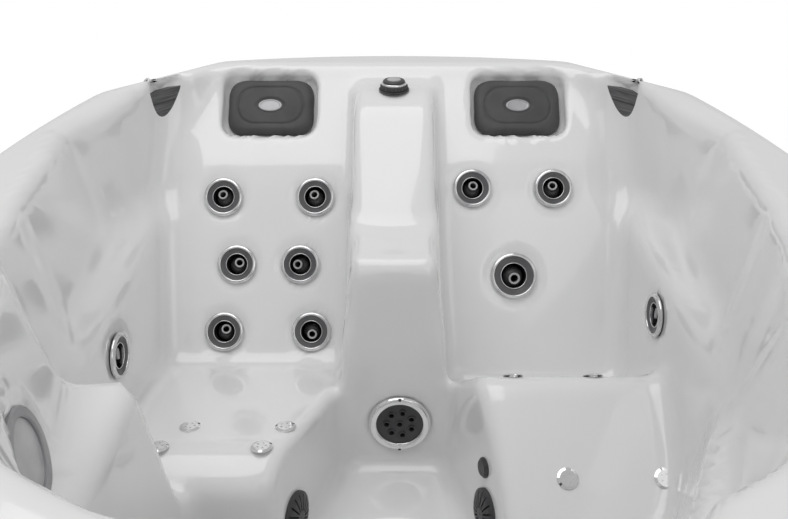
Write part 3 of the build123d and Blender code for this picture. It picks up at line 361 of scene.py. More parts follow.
    def air(self, points: np.ndarray) -> np.ndarray:
        """Returns: the whole shell's field, positive in the air."""
        depth = RIM_HEIGHT - points[:, 2]
        shoulder = 8 + 70 * np.clip((np.abs(points[:, 0]) - 470) / 60, 0, 1)
        hollow = smooth_max(self.basin(points), self.upright(points), shoulder)
        hollow = smooth_max(hollow, self.lounger(points), shoulder)
        hollow = smooth_min(hollow, -self.saddle(points), 30)
        hollow = smooth_max(hollow, self.footwell(points), 26)
        for x in (-PILLOW_X, PILLOW_X):
            hollow = smooth_max(hollow, self.pocket(points, x), 10)
        from_niche = np.hypot(points[:, 0], points[:, 1] - NICHE_Y)
        niche = smooth_min(NICHE_RADIUS - from_niche, NICHE_DEPTH - depth, 10)
        hollow = smooth_max(hollow, niche, 6)
        for place, size, _ in JETS.values():
            radius = DISH_SHARE * size.value[0]
            hollow = smooth_max(hollow, self.dish(points, place, radius), 6)
        hollow = smooth_max(hollow, self.dish(points, foot_place(), FOOT_DISH_RADIUS, 30), 6)
        hollow = smooth_max(hollow, self.dish(points, light_place(), LIGHT_DISH_RADIUS, 34), 8)
        keypad = smooth_min(79 - np.abs(points[:, 0] - KEYPAD_X), 39 - np.abs(points[:, 1] - KEYPAD_Y), 10)
        hollow = smooth_max(hollow, smooth_min(keypad, 5 - depth, 3), 4)
        body = smooth_min(depth, self.outline(points), 18)
        return smooth_max(-body, hollow, self.rim_edge)


@dataclass
class SurfaceNet:
    """A regular net of points drawn onto a field's surface, then evened out."""

    form: TubForm
    columns: int = 46
    rows: int = 56
    doublings: int = 2
    border_inset: float = 22.0

    def plan(self) -> np.ndarray:
        """Returns: the starting points, rings of the rim's outline scaled towards the middle."""
        u = np.linspace(-1, 1, self.columns + 1)
        v = np.linspace(-1, 1, self.rows + 1)
        across, along = np.meshgrid(u, v)
        ring = np.maximum(np.abs(across), np.abs(along))
        x = across * HALF_WIDTH
        y = along * HALF_LENGTH
        points = np.stack([x.ravel(), y.ravel(), np.zeros(x.size)], axis=1)
        low = np.zeros(len(points))
        high = np.ones(len(points)) * 1.05
        at_ring = np.maximum(ring.ravel(), 1e-6)[:, None]
        edge = points / at_ring
        for _ in range(30):
            middle = (low + high) / 2
            inside = self.form.outline(edge * middle[:, None]) > self.border_inset
            low = np.where(inside, middle, low)
            high = np.where(inside, high, middle)
        return points * low[:, None]

    def dropped(self, points: np.ndarray) -> np.ndarray:
        """Returns: the points lowered to the first surface below the rim's level."""
        depth = np.full(len(points), -4.0)
        going = np.ones(len(points), dtype=bool)
        for _ in range(400):
            trial = points.copy()
            trial[:, 2] = RIM_HEIGHT - depth
            clear = self.form.air(trial)
            going &= clear > 0.3
            depth = np.where(going, depth + np.maximum(clear * 0.6, 0.4), depth)
            depth = np.minimum(depth, 772)
        points[:, 2] = RIM_HEIGHT - depth
        return points

    def slope(self, points: np.ndarray) -> tuple[np.ndarray, np.ndarray]:
        """Returns: how far each point is from the surface, and the direction away from the material."""
        delta = 0.6
        value = self.form.air(points)
        slope = np.empty_like(points)
        for axis in range(3):
            shift = np.zeros(3)
            shift[axis] = delta
            slope[:, axis] = (self.form.air(points + shift) - value) / delta
        length = np.maximum(np.linalg.norm(slope, axis=1), 0.4)
        return value / length, slope / length[:, None]

    def even(self, net: np.ndarray, rounds: int, share: float = 0.5, stride: float = 10.0) -> np.ndarray:
        """Slides the net's points along the surface until they are evenly spread.

        Args:
            net: rows and columns of points.
            rounds: how many times the points move.
            share: how far each goes towards the middle of its neighbours, or 0 to only settle.
            stride: the longest move onto the surface in one round.
        Returns: the net, its border unmoved.
        """
        for _ in range(rounds):
            self.slide_border(net)
            off, normal = self.slope(net.reshape(-1, 3))
            normal = normal.reshape(net.shape)
            off = np.clip(off, -stride, stride).reshape(net.shape[:2])
            middle = (net[:-2, 1:-1] + net[2:, 1:-1] + net[1:-1, :-2] + net[1:-1, 2:]) / 4
            inner = normal[1:-1, 1:-1]
            pull = middle - net[1:-1, 1:-1]
            pull -= (pull * inner).sum(axis=2, keepdims=True) * inner
            net[1:-1, 1:-1] += share * pull - off[1:-1, 1:-1, None] * inner
        return net

    def slide_border(self, net: np.ndarray) -> None:
        """Draws the net's border round the rim so that it keeps level with the points beside it."""
        ends = ((net[0], net[1]), (net[-1], net[-2]))
        sides = ((net[:, 0], net[:, 1]), (net[:, -1], net[:, -2]))
        for edge, beside in ends + sides:
            target = edge[1:-1] * 0.5 + beside[1:-1] * 0.5
            target[:, 2] = RIM_HEIGHT
            for _ in range(3):
                inside, outward = self.form.outward(target)
                target += (inside - self.border_inset)[:, None] * outward
            edge[1:-1] = target

    def border(self, net: np.ndarray) -> np.ndarray:
        """Returns: the net with its border on the flat of the rim."""
        for edge in (net[0], net[-1], net[:, 0], net[:, -1]):
            edge[:, 2] = RIM_HEIGHT
        return net

    def doubled(self, net: np.ndarray) -> np.ndarray:
        """Returns: the net with a point put between each two."""
        rows, columns, _ = net.shape
        finer = np.empty((2 * rows - 1, 2 * columns - 1, 3))
        finer[::2, ::2] = net
        finer[1::2, ::2] = (net[:-1] + net[1:]) / 2
        finer[:, 1::2] = (finer[:, :-1:2] + finer[:, 2::2]) / 2
        return finer

    def build(self) -> np.ndarray:
        """Returns: the finished net."""
        points = self.dropped(self.plan())
        net = self.border(points.reshape(self.rows + 1, self.columns + 1, 3))
        net = self.even(net, 50, stride=20)
        for doubling in range(self.doublings):
            net = self.border(self.doubled(net))
            net = self.even(net, 24 if doubling == 0 else 12)
        net = self.even(net, 4, share=0.0, stride=4)
        return net


class Value:
    """A shader value that takes part in arithmetic."""

    def __init__(self, tree: bpy.types.NodeTree, socket: bpy.types.NodeSocket) -> None:
        self.tree = tree
        self.socket = socket

    def math(self, operation: str, other: "Value | float | None" = None, first: bool = True) -> "Value":
        """A maths node on this value and another.

        Args:
            operation: the node's operation.
            other: a value or a number, where the operation takes two.
            first: whether this value comes before the other.
        Returns: the result.
        """
        node = self.tree.nodes.new("ShaderNodeMath")
        node.operation = operation
        mine, theirs = (0, 1) if first else (1, 0)
        self.tree.links.new(self.socket, node.inputs[mine])
        if isinstance(other, Value):
            self.tree.links.new(other.socket, node.inputs[theirs])
        elif other is not None:
            node.inputs[theirs].default_value = other
        return Value(self.tree, node.outputs[0])

    def __add__(self, other: "Value | float") -> "Value":
        return self.math("ADD", other)

    def __sub__(self, other: "Value | float") -> "Value":
        return self.math("SUBTRACT", other)

    def __mul__(self, other: "Value | float") -> "Value":
        return self.math("MULTIPLY", other)

    def __truediv__(self, other: "Value | float") -> "Value":
        return self.math("DIVIDE", other)

    def __radd__(self, other: "Value | float") -> "Value":
        return self.math("ADD", other, first=False)

    def __rsub__(self, other: "Value | float") -> "Value":
        return self.math("SUBTRACT", other, first=False)

    def __rmul__(self, other: "Value | float") -> "Value":
        return self.math("MULTIPLY", other, first=False)

    def __rtruediv__(self, other: "Value | float") -> "Value":
        return self.math("DIVIDE", other, first=False)


@dataclass
class Graph:
    """A material and its node tree."""

    name: str
    material: bpy.types.Material = field(init=False)

    def __post_init__(self) -> None:
        self.material = bpy.data.materials.new(self.name)
        self.material.use_nodes = True
        self.tree = self.material.node_tree
        self.surface = self.tree.nodes["Principled BSDF"]

    def add(self, kind: str, settings: dict | None = None, inputs: dict | None = None) -> bpy.types.Node:
        """Adds a node.

        Args:
            kind: the node's type.
            settings: values of the node's own properties.
            inputs: values, or links from other nodes' sockets, by input name or number.
        Returns: the node.
        """
        node = self.tree.nodes.new(kind)
        for key, value in (settings or {}).items():
            setattr(node, key, value)
        for key, value in (inputs or {}).items():
            self.put(node, key, value)
        return node

    def put(self, node: bpy.types.Node, key, value) -> None:
        """Gives an input a value or a link."""
        if isinstance(value, Value):
            self.tree.links.new(value.socket, node.inputs[key])
        elif isinstance(value, bpy.types.NodeSocket):
            self.tree.links.new(value, node.inputs[key])
        else:
            node.inputs[key].default_value = value

    def coordinates(self) -> bpy.types.NodeSocket:
        """Returns: the piece's object coordinates, in metres."""
        return self.add("ShaderNodeTexCoord").outputs["Object"]

    def noise(self, scale: float, detail: float = 3.0, stretch: tuple = (1, 1, 1)) -> Value:
        """Returns: a noise in object coordinates, stretched by three factors."""
        mapping = self.add("ShaderNodeMapping", None, {"Vector": self.coordinates(), "Scale": stretch})
        inputs = {"Vector": mapping.outputs[0], "Scale": scale, "Detail": detail}
        texture = self.add("ShaderNodeTexNoise", None, inputs)
        return Value(self.tree, texture.outputs["Fac"])

    def shades(self, value: Value, dark: tuple, light: tuple) -> bpy.types.NodeSocket:
        """Returns: a colour that runs from dark to light with a value."""
        ramp = self.add("ShaderNodeValToRGB", None, {"Fac": value})
        ramp.color_ramp.elements[0].position = 0.3
        ramp.color_ramp.elements[0].color = (*dark, 1)
        ramp.color_ramp.elements[1].position = 0.7
        ramp.color_ramp.elements[1].color = (*light, 1)
        return ramp.outputs["Color"]

    def bump(self, height: Value, strength: float, distance: float) -> bpy.types.NodeSocket:
        """Returns: a normal bent by a height."""
        inputs = {"Height": height, "Strength": strength, "Distance": distance}
        return self.add("ShaderNodeBump", None, inputs).outputs["Normal"]


@dataclass(frozen=True)
class Finish:
    """A moulded, painted or metal surface with mottled colour, uneven gloss and a fine grain."""

    name: str
    dark: tuple
    light: tuple
    roughness: tuple = (0.3, 0.45)
    metallic: float = 0.0
    coat: float = 0.0
    mottle_scale: float = 6.0
    grain_scale: float = 900.0
    grain: float = 0.1
    grain_depth: float = 0.0004
    stretch: tuple = (1, 1, 1)

    def build(self) -> bpy.types.Material:
        """Returns: the material."""
        graph = Graph(self.name)
        surface = graph.surface
        surface.inputs["Metallic"].default_value = self.metallic
        surface.inputs["Coat Weight"].default_value = self.coat
        surface.inputs["Coat Roughness"].default_value = 0.04
        mottle = graph.noise(self.mottle_scale)
        graph.put(surface, "Base Color", graph.shades(mottle, self.dark, self.light))
        low, high = self.roughness
        gloss = graph.noise(self.mottle_scale * 3, 4, self.stretch)
        graph.put(surface, "Roughness", gloss * (high - low) + low)
        if self.grain:
            grain = graph.noise(self.grain_scale, 2, self.stretch)
            graph.put(surface, "Normal", graph.bump(grain, self.grain, self.grain_depth))
        return graph.material


@dataclass(frozen=True)
class BoardFinish:
    """Cabinet boards: horizontal slats with dark joints and a long wood grain."""

    name: str
    dark: tuple
    light: tuple
    board: float = 0.132

    def build(self) -> bpy.types.Material:
        """Returns: the material."""
        graph = Graph(self.name)
        surface = graph.surface
        parts = graph.add("ShaderNodeSeparateXYZ", None, {0: graph.coordinates()})
        height = Value(graph.tree, parts.outputs["Z"]) / self.board
        across = height.math("FRACT")
        joint = (across - 0.5).math("ABSOLUTE").math("GREATER_THAN", 0.482)
        grain = graph.noise(18, 5, (1, 1, 22))
        tone = grain - joint * 0.5
        graph.put(surface, "Base Color", graph.shades(tone, self.dark, self.light))
        graph.put(surface, "Roughness", grain * 0.25 + 0.45)
        fine = graph.noise(120, 3, (1, 1, 14))
        graph.put(surface, "Normal", graph.bump(fine * 0.25 - joint, 0.5, 0.003))
        return graph.material


def grey(level: float, blue: float = 0.0) -> tuple[float, float, float]:
    """Returns: a grey colour with a little extra blue."""
    return level, level, level + blue


ALL_FINISHES = [
    Finish("acrylic", grey(0.8), grey(0.83), (0.1, 0.16), coat=0.6, mottle_scale=2.5, grain=0),
    Finish(
        "stainless", grey(0.6, 0.01), grey(0.82), (0.1, 0.26),
        metallic=1, mottle_scale=30, grain_scale=500, grain=0.08, grain_depth=0.0002,
    ),
    Finish("chrome", grey(0.78, 0.01), grey(0.88), (0.04, 0.12), metallic=1, mottle_scale=20, grain=0),
    Finish("jet_plastic", grey(0.035, 0.002), grey(0.055, 0.003), (0.32, 0.5)),
    Finish("step_plastic", grey(0.1, 0.005), grey(0.15, 0.005), (0.28, 0.42)),
    Finish("tip_plastic", grey(0.4, 0.01), grey(0.5, 0.01), (0.25, 0.35)),
    # Painted shade: near-black for the inside of the jets' throats, darker than the jets' own black
    # plastic.
    Finish("painted_shade_cavity", grey(0.006), grey(0.012), (0.5, 0.7)),
    Finish(
        "pillow_foam", grey(0.05, 0.002), grey(0.072, 0.003), (0.5, 0.68),
        mottle_scale=14, grain_scale=420, grain=0.35, grain_depth=0.0006,
    ),
    Finish(
        "lens", grey(0.4, 0.01), grey(0.52, 0.01), (0.3, 0.42),
        coat=0.3, mottle_scale=16, grain_scale=260, grain=0.3,
    ),
    Finish("ring_grey", grey(0.33, 0.01), grey(0.42, 0.01), (0.3, 0.42), metallic=0.6, mottle_scale=20),
    Finish("pvc", grey(0.74, -0.02), grey(0.84, -0.02), (0.3, 0.42)),
    Finish("motor_paint", (0.03, 0.045, 0.07), (0.06, 0.075, 0.1), (0.35, 0.5), grain=0.2),
    Finish(
        "filter_fabric", (0.62, 0.66, 0.7), (0.8, 0.83, 0.85), (0.75, 0.9),
        mottle_scale=40, grain=0.5, grain_scale=300,
    ),
    Finish("abs_black", grey(0.028, 0.002), grey(0.042, 0.003), (0.38, 0.55), grain=0.25, grain_scale=700),
    Finish(
        "frame_aluminium", grey(0.5, 0.01), grey(0.64, 0.01), (0.28, 0.42),
        metallic=1, stretch=(1, 1, 0.1),
    ),
    Finish("keypad", grey(0.03, 0.005), grey(0.05, 0.005), (0.12, 0.2), coat=0.6, grain=0),
    Finish("buttons", grey(0.42, 0.01), grey(0.52, 0.01), (0.5, 0.62), grain=0.2),
    BoardFinish("cabinet", (0.055, 0.056, 0.058), (0.17, 0.172, 0.175)),
]
FINISHES = {finish.name: finish for finish in ALL_FINISHES}


@dataclass
class Paint:
    """The finishes, each built once."""

    made: dict = field(default_factory=dict)

    def get(self, name: str) -> bpy.types.Material:
        """Returns: the material of a finish."""
        if name not in self.made:
            self.made[name] = FINISHES[name].build()
        return self.made[name]


PAINT = Paint()


def place_piece(bm: bmesh.types.BMesh, name: str, finish: str, body: str) -> bpy.types.Object:
    """Turns a mesh into a named piece of the tub.

    Args:
        bm: the mesh, in metres, which is used up.
        name: the piece's name.
        finish: the name of its finish.
        body: the CAD body that it rides on.
    Returns: the piece.
    """
    mesh = bpy.data.meshes.new(name)
    bm.to_mesh(mesh)
    bm.free()
    for polygon in mesh.polygons:
        polygon.use_smooth = True
    mesh.materials.append(PAINT.get(finish))
    piece = bpy.data.objects.new(name, mesh)
    bpy.context.scene.collection.objects.link(piece)
    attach(piece, body)
    log.info("%s: %d faces on %s", name, len(mesh.polygons), body)
    return piece


def rounded(profile: list, radius: float, steps: int = 3) -> list:
    """A closed profile with its corners rounded.

    Args:
        profile: radius and height pairs.
        radius: how far from a corner the rounding starts.
        steps: the number of points that replace a corner.
    Returns: the rounded profile.
    """
    points = []
    count = len(profile)
    for i, corner in enumerate(profile):
        here = Vector(corner)
        if here.x == 0:
            points.append(tuple(here))
            continue
        before = Vector(profile[i - 1]) - here
        after = Vector(profile[(i + 1) % count]) - here
        start = here + before * min(0.45, radius / max(before.length, 1e-6))
        end = here + after * min(0.45, radius / max(after.length, 1e-6))
        for step in range(steps):
            share = step / (steps - 1)
            first = start.lerp(here, share)
            second = here.lerp(end, share)
            points.append(tuple(first.lerp(second, share)))
    return points


def lathed(
    profile: list,
    place: Place,
    segments: int = 96,
    flutes: int = 0,
    flute_depth: float = 0.0,
    oval: float = 1.0,
) -> bmesh.types.BMesh:
    """A turned mesh.

    Args:
        profile: radius and height pairs, closed on itself or starting and ending on the axis.
        place: where its axis starts and points.
        segments: how many steps go round.
        flutes: how many flutes go round, if any.
        flute_depth: how deep the flutes are.
        oval: the width over the height of the turned shape.
    Returns: the mesh, in metres, in the tub's frame.
    """
    bm = bmesh.new()
    corners = [bm.verts.new((r * MM, 0, h * MM)) for r, h in profile]
    closed = profile[0][0] > 0 or profile[-1][0] > 0
    pairs = list(zip(corners, corners[1:]))
    if closed:
        pairs.append((corners[-1], corners[0]))
    edges = [bm.edges.new(pair) for pair in pairs]
    spun = {"axis": (0, 0, 1), "cent": (0, 0, 0), "angle": 2 * math.pi, "steps": segments}
    bmesh.ops.spin(bm, geom=corners + edges, use_merge=True, **spun)
    bmesh.ops.remove_doubles(bm, verts=bm.verts[:], dist=1e-6)
    if flutes:
        for vert in bm.verts:
            angle = math.atan2(vert.co.y, vert.co.x)
            cut = flute_depth * MM * (0.5 + 0.5 * math.cos(flutes * angle))
            vert.co.xy *= 1 - cut / max(vert.co.xy.length, 1e-6)
    if oval != 1.0:
        bmesh.ops.scale(bm, vec=(oval, 1, 1), verts=bm.verts[:])
    bmesh.ops.recalc_face_normals(bm, faces=bm.faces[:])
    bmesh.ops.transform(bm, matrix=place.matrix(), verts=bm.verts[:])
    return bm


@dataclass
class Shell:
    """The acrylic shell."""

    thickness: float = 6.0
    lip: tuple = ((15, 0), (10.5, 1), (6, 3.6), (2.5, 8.5), (0.6, 16), (0.3, 38), (0.3, 62))

    def build(self) -> None:
        """Builds the shell from its form, opens the jets' bores and gives it a thickness."""
        net = SurfaceNet(TubForm()).build()
        rows, columns, _ = net.shape
        bm = bmesh.new()
        bmesh.ops.create_grid(bm, x_segments=columns - 1, y_segments=rows - 1, size=1)
        for vert, point in zip(bm.verts, net.reshape(-1, 3)):
            vert.co = Vector(point) * MM
        self.open_bores(bm)
        self.add_lip(bm)
        self.thicken(bm)
        piece = place_piece(bm, "acrylic_shell", "acrylic", "tub")
        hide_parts("shell")

    def add_lip(self, bm: bmesh.types.BMesh) -> None:
        """Extrudes the rim's border outward and down into its rounded lip and skirt."""
        form = TubForm()
        rim_level = (RIM_HEIGHT - 1) * MM
        border = [edge for edge in bm.edges if edge.is_boundary and edge.verts[0].co.z > rim_level]
        for inset, depth in self.lip:
            grown = bmesh.ops.extrude_edge_only(bm, edges=border)["geom"]
            border = [item for item in grown if isinstance(item, bmesh.types.BMEdge) and item.is_boundary]
            verts = [item for item in grown if isinstance(item, bmesh.types.BMVert)]
            points = np.array([vert.co[:] for vert in verts]) / MM
            inside, outward = form.outward(points)
            points += (inside - inset)[:, None] * outward
            for vert, point in zip(verts, points):
                vert.co = Vector((point[0], point[1], RIM_HEIGHT - depth)) * MM

    def thicken(self, bm: bmesh.types.BMesh) -> None:
        """Adds the shell's hidden side a thickness behind the front, joined along every border."""
        front = list(bm.verts)
        border = [edge for edge in bm.edges if edge.is_boundary]
        bm.normal_update()
        copy = bmesh.ops.duplicate(bm, geom=bm.verts[:] + bm.edges[:] + bm.faces[:])
        twin = copy["vert_map"]
        for vert in front:
            twin[vert].co = vert.co - vert.normal * self.thickness * MM
        behind = [item for item in copy["geom"] if isinstance(item, bmesh.types.BMFace)]
        bmesh.ops.reverse_faces(bm, faces=behind)
        for edge in border:
            loop = edge.link_loops[0]
            first, second = loop.vert, loop.link_loop_next.vert
            bm.faces.new((second, first, twin[first], twin[second]))

    def open_bores(self, bm: bmesh.types.BMesh) -> None:
        """Deletes the faces over each jet's barrel; the jet's flange covers the edge."""
        bores = [(place, size.value[1]) for place, size, _ in JETS.values()]
        bores.append((foot_place(), FOOT_BORE_RADIUS))
        centres = np.array([face.calc_center_median()[:] for face in bm.faces]) / MM
        doomed = np.zeros(len(centres), dtype=bool)
        for place, radius in bores:
            across, up, out = place.local(centres)
            doomed |= (np.hypot(across, up) < radius) & (np.abs(out) < 14)
        faces = [face for face, gone in zip(list(bm.faces), doomed) if gone]
        bmesh.ops.delete(bm, geom=faces, context="FACES")


@dataclass
class SeatJet:
    """A seat jet: turning bezel in four finishes, and an aimed nozzle."""

    name: str
    place: Place
    size: JetSize
    lean: float

    def build(self) -> None:
        """Builds the bezel's rings, cone and sleeve, and the nozzle's ball and tip."""
        diameter, barrel, ball = self.size.value
        outer = diameter / 2
        mouth = ball + 3
        base = 3.4
        step = outer - 9
        ring = [
            (step, base), (outer, base), (outer, 7), (outer - 2.5, 10),
            (outer - 6, 11.3), (step + 0.6, 10.4), (step, 8),
        ]
        cone = [(step - 0.1, base), (step - 0.1, 8.6)]
        grooves = 5
        width = (step - mouth - 3.5) / grooves
        for i in range(grooves):
            r = step - 0.6 - i * width
            h = 8.4 - i * 0.85
            cone += [(r, h), (r - 0.55 * width, h - 0.35)]
            cone += [(r - 0.6 * width, h - 1.2), (r - 0.95 * width, h - 1.3)]
        cone += [(mouth + 2.6, 4.2), (mouth + 2.6, base)]
        inner = [
            (mouth, -8), (mouth + 2.5, -8), (mouth + 2.5, 5.4),
            (mouth + 1.4, 6.6), (mouth + 0.3, 6.2), (mouth, 5),
        ]
        inside = mouth + 0.1
        outside = barrel - 4.4
        top = base - 0.2
        sleeve = [(inside, -56), (outside, -56), (outside, top), (inside, top)]
        outer_ring = self.add(rounded(ring, 1.0), "outer_ring", "stainless", "stainless")
        self.add(cone, "cone", "step_plastic", "jet_plastic")
        self.add(rounded(inner, 0.5), "inner_ring", "stainless", "stainless")
        # The sleeve gets the near-black painted shade finish instead of the jet plastic of its slot.
        self.add(sleeve, "sleeve", "painted_shade_cavity", "jet_plastic")
        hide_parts(f"{self.name}_bezel")
        self.build_nozzle(ball)

    def add(self, profile: list, part: str, finish: str, slot: str) -> bpy.types.Object:
        """Returns: a turned part of the bezel, placed on the body that turns."""
        mesh = lathed(profile, self.place)
        return place_piece(mesh, f"{self.name}_{part}", finish, f"{self.name}_ring")

    def build_nozzle(self, ball: float) -> None:
        """Builds the ball with its tube, and the light rim of the tube."""
        axes = self.place.axes()
        lean = math.radians(self.lean)
        tilt = math.radians(14)
        toward = axes[0] * math.cos(lean) + axes[1] * math.sin(lean)
        along = axes[2] * math.cos(tilt) + toward * math.sin(tilt)
        seat = self.place.raised(-28)
        aim = Place(seat.origin, tuple(np.cross(axes[2], toward)), tuple(along))
        tube = 0.52 * ball
        bore = 0.34 * ball
        back = -0.64 * ball
        profile = [(bore, back)]
        start = math.asin(back / ball)
        end = math.acos(tube / ball)
        for i in range(15):
            angle = start + (end - start) * i / 14
            profile.append((ball * math.cos(angle), ball * math.sin(angle)))
        profile += [(tube, 26), (bore, 26)]
        tip = [
            (bore - 0.2, 26), (tube - 0.2, 26), (tube, 27), (tube, 29.4),
            (tube - 0.8, 30), (bore + 0.8, 30), (bore, 29),
        ]
        body = f"{self.name}_aim"
        mesh = lathed(profile, aim, 64)
        piece = place_piece(mesh, f"{self.name}_ball", "jet_plastic", body)
        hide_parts(f"{self.name}_nozzle")
        place_piece(lathed(tip, aim, 64), f"{self.name}_tip", "tip_plastic", body)


@dataclass
class Pillow:
    """A foam headrest with a pressed groove and an oval insert."""

    name: str
    x: float
    columns: int = 110
    rows: int = 80
    half_width: float = 115.0
    half_height: float = 80.0
    waist: float = 6.0
    shoulder: float = 16.0
    back: float = 22.0

    def outline(self, across: np.ndarray, up: np.ndarray) -> np.ndarray:
        """Returns: how far in a point lies from the waisted, rounded edge."""
        across_share = across / self.half_width
        up_share = up / self.half_height
        side = self.half_width - self.waist * np.clip(1 - up_share**2, 0, 1) - np.abs(across)
        end = self.half_height - self.waist * np.clip(1 - across_share**2, 0, 1) - np.abs(up)
        return smooth_min(side, end, 60)

    def build(self) -> None:
        """Builds the pillow as a net over its outline, closed at the back."""
        place = pillow_place(self.x)
        u, v = np.meshgrid(np.linspace(-1, 1, self.columns + 1), np.linspace(-1, 1, self.rows + 1))
        ring = np.maximum(np.abs(u), np.abs(v))
        safe = np.maximum(ring, 1e-6)
        low = np.zeros(u.shape)
        high = np.ones(u.shape)
        for _ in range(24):
            middle = (low + high) / 2
            across = u / safe * self.half_width * middle
            up = v / safe * self.half_height * middle
            inside = self.outline(across, up) > 0.4
            low = np.where(inside, middle, low)
            high = np.where(inside, high, middle)
        across = u * self.half_width * low
        up = v * self.half_height * low
        edge = self.outline(across, up)
        crown = 7 * (1 - (across / self.half_width) ** 2) * (1 - 0.25 * (up / self.half_height) ** 2)
        shoulder = np.clip(edge / self.shoulder, 0, 1)
        rise = self.back + crown
        out = -self.back + rise * np.sqrt(np.clip(1 - (1 - shoulder) ** 2, 0, 1)) ** 0.8
        groove = np.exp(-((edge - 25) / 2.2) ** 2)
        well = np.exp(-(np.maximum(np.hypot(across / 33.5, up / 19.5) - 1, 0) * 9) ** 2)
        out -= 2.6 * groove + 3.2 * well
        bm = bmesh.new()
        bmesh.ops.create_grid(bm, x_segments=self.columns, y_segments=self.rows, size=1)
        for vert, x, y, z in zip(bm.verts, across.ravel(), up.ravel(), out.ravel()):
            vert.co = Vector((x, y, z)) * MM
        border = [edge for edge in bm.edges if edge.is_boundary]
        bmesh.ops.edgeloop_fill(bm, edges=border)
        bmesh.ops.recalc_face_normals(bm, faces=bm.faces[:])
        bmesh.ops.transform(bm, matrix=place.matrix(), verts=bm.verts[:])
        piece = place_piece(bm, f"{self.name}_foam", "pillow_foam", "tub")
        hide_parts(self.name)
        badge = [
            (0, 2.4), (12, 2.4), (16.2, 2.4), (16.4, 4.4),
            (15.4, 5.9), (13.6, 6.1), (12.6, 5.2), (0, 5.6),
        ]
        oval = lathed(rounded(badge, 0.5), place, 96, oval=1.86)
        insert = place_piece(oval, f"{self.name}_insert", "ring_grey", "tub")
        if self.x > 0:
            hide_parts("pillow_inserts")


@dataclass
class DiverterKnob:
    """The water diverter's knob on its shelf between the headrests."""

    place: Place = Place((0, 723, 812), (1, 0, 0), (0, 0, 1))

    def build(self) -> None:
        """Builds the fluted skirt, chrome ring, dark ring and oval cap."""
        skirt = [(20, 4.3), (35, 4.3), (35, 6), (34, 13), (32.6, 15), (20, 15)]
        ring = [(20, 15.1), (31, 15.1), (31.2, 17), (30.4, 19.4), (28.5, 20.4), (20, 20.4)]
        top = [(14, 20.5), (27.6, 20.5), (27.2, 23.5), (25, 25.6), (18, 26.2), (14, 25)]
        cap = [(0, 21), (13, 21), (14, 24), (13.4, 27.6), (10, 29.6), (0, 30.4)]
        body = "diverter"
        fluted = lathed(rounded(skirt, 0.8), self.place, 240, 24, 2.2)
        piece = place_piece(fluted, "knob_skirt", "jet_plastic", body)
        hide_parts("diverter_knob")
        place_piece(lathed(rounded(ring, 0.8), self.place), "knob_ring", "chrome", body)
        place_piece(lathed(rounded(top, 0.8), self.place), "knob_top", "jet_plastic", body)
        oval = lathed(rounded(cap, 0.8), self.place, oval=1.25)
        place_piece(oval, "knob_cap", "tip_plastic", body)


@dataclass
class FootJet:
    """The large foot jet's chrome ring with its dark notches."""

    def build(self) -> None:
        """Builds the ring and its two notch plates."""
        place = foot_place()
        ring = [(53.2, 3.4), (71.5, 3.4), (71.5, 9), (68, 13.2), (63, 14.3), (57, 13.2), (53.2, 11)]
        front = lathed(rounded(ring, 1.4), place, 128)
        piece = place_piece(front, "foot_jet_ring_front", "chrome", "foot_jet_ring")
        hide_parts("foot_jet_bezel")
        for name, side in (("top", 1), ("bottom", -1)):
            bm = bmesh.new()
            bmesh.ops.create_cube(bm, size=1)
            bmesh.ops.scale(bm, vec=(7 * MM, 9 * MM, 5 * MM), verts=bm.verts[:])
            soft = {"segments": 3, "profile": 0.5, "affect": "EDGES", "material": -1}
            bmesh.ops.bevel(bm, geom=bm.edges[:], offset=1.2 * MM, **soft)
            bmesh.ops.translate(bm, vec=(0, side * 66 * MM, 11.4 * MM), verts=bm.verts[:])
            bmesh.ops.transform(bm, matrix=place.matrix(), verts=bm.verts[:])
            place_piece(bm, f"foot_jet_notch_{name}", "jet_plastic", "foot_jet_ring")


@dataclass
class CarriedNodes:
    """The CAD nodes that are shown as they are, with procedural finishes."""

    finishes: dict = field(default_factory=lambda: {
        "jet_bodies": "jet_plastic", "air_jets": "chrome", "suction_covers": "jet_plastic",
        "wall_fittings": "jet_plastic", "light_lens": "lens", "light_bezel": "ring_grey",
        "foot_jet_insert": "jet_plastic", "diverter_body": "jet_plastic", "filter_lid": "acrylic",
    })

    def build(self) -> None:
        """Gives each carried node the finish of its name or of its material slot."""
        slots = {part["node"]: part["material_slot"] for part in frame["record"]["subparts"]}
        for name, node in frame["nodes"].items():
            finish = self.finishes.get(name, slots.get(name, "abs_black"))
            node.data.materials.clear()
            node.data.materials.append(PAINT.get(finish))
            log.info("%s: carried with finish %s", name, finish)


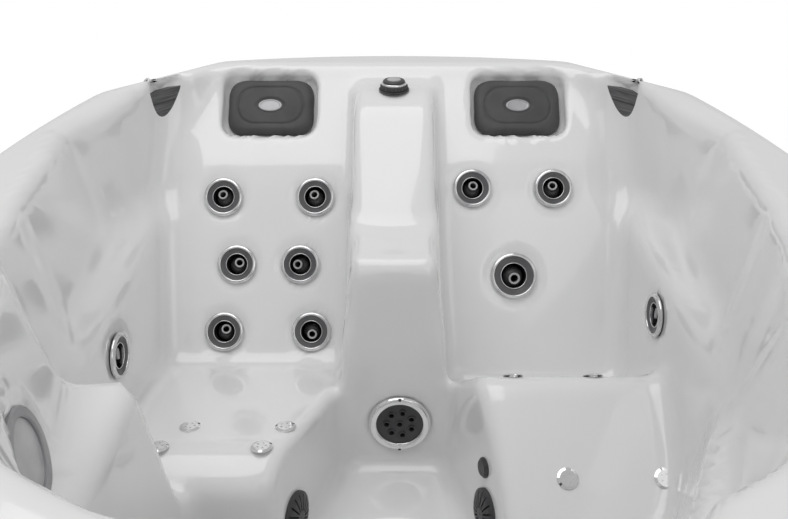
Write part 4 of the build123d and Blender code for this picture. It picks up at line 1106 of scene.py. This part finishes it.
@dataclass
class Studio:
    """The floor, the soft lights and the camera."""

    def build(self) -> None:
        """Builds the studio."""
        self.floor()
        self.world()
        self.area("key", (-0.6, 0.2, 3.4), (0, 0.2, 0.4), 2.6, 36)
        self.area("fill", (1.9, -2.4, 2.6), (0, 0.2, 0.5), 2.2, 12)
        self.camera()

    def floor(self) -> None:
        """A pale floor that shows white to the camera."""
        bm = bmesh.new()
        bmesh.ops.create_grid(bm, x_segments=2, y_segments=2, size=30)
        mesh = bpy.data.meshes.new("floor")
        bm.to_mesh(mesh)
        bm.free()
        graph = Graph("floor")
        surface = graph.surface
        surface.inputs["Base Color"].default_value = (0.75, 0.75, 0.75, 1)
        surface.inputs["Roughness"].default_value = 0.9
        white = graph.add("ShaderNodeEmission", None, {"Color": (1, 1, 1, 1), "Strength": 1.0})
        path = graph.add("ShaderNodeLightPath")
        seen = Value(graph.tree, path.outputs["Is Camera Ray"])
        factor = seen.math("MAXIMUM", Value(graph.tree, path.outputs["Is Glossy Ray"]))
        factor = factor.math("MAXIMUM", Value(graph.tree, path.outputs["Is Transmission Ray"]))
        inputs = {0: factor, 1: surface.outputs[0], 2: white.outputs[0]}
        mix = graph.add("ShaderNodeMixShader", None, inputs)
        output = graph.tree.nodes["Material Output"]
        graph.tree.links.new(mix.outputs[0], output.inputs["Surface"])
        mesh.materials.append(graph.material)
        plane = bpy.data.objects.new("floor", mesh)
        bpy.context.scene.collection.objects.link(plane)

    def world(self) -> None:
        """An even pale sky."""
        world = bpy.data.worlds.new("studio")
        world.use_nodes = True
        background = world.node_tree.nodes["Background"]
        background.inputs["Color"].default_value = (1, 1, 1, 1)
        background.inputs["Strength"].default_value = 0.5
        bpy.context.scene.world = world

    def area(self, name: str, at: tuple, target: tuple, size: float, power: float) -> None:
        """A square soft light at a place, aimed at a target."""
        data = bpy.data.lights.new(name, "AREA")
        data.size = size
        data.energy = power
        lamp = bpy.data.objects.new(name, data)
        lamp.location = at
        lamp.rotation_euler = (Vector(target) - Vector(at)).to_track_quat("-Z", "Y").to_euler()
        bpy.context.scene.collection.objects.link(lamp)

    def camera(self) -> None:
        """The photograph's camera: above the near end, looking down at the two seats."""
        data = bpy.data.cameras.new("camera")
        data.lens = 34.72
        data.sensor_width = 36
        data.clip_start = 0.01
        camera = bpy.data.objects.new("camera", data)
        camera.location = (0, -1.118, 1.39)
        camera.rotation_euler = (math.radians(60), 0, 0)
        bpy.context.scene.collection.objects.link(camera)
        scene = bpy.context.scene
        scene.camera = camera
        scene.view_settings.view_transform = "Standard"


def main() -> None:
    """Builds every piece."""
    CarriedNodes().build()
    Shell().build()
    for name, (place, size, lean) in JETS.items():
        SeatJet(name, place, size, lean).build()
    FootJet().build()
    Pillow("left_pillow", -PILLOW_X).build()
    Pillow("right_pillow", PILLOW_X).build()
    DiverterKnob().build()
    Studio().build()


if __name__ == "__main__":
    main()
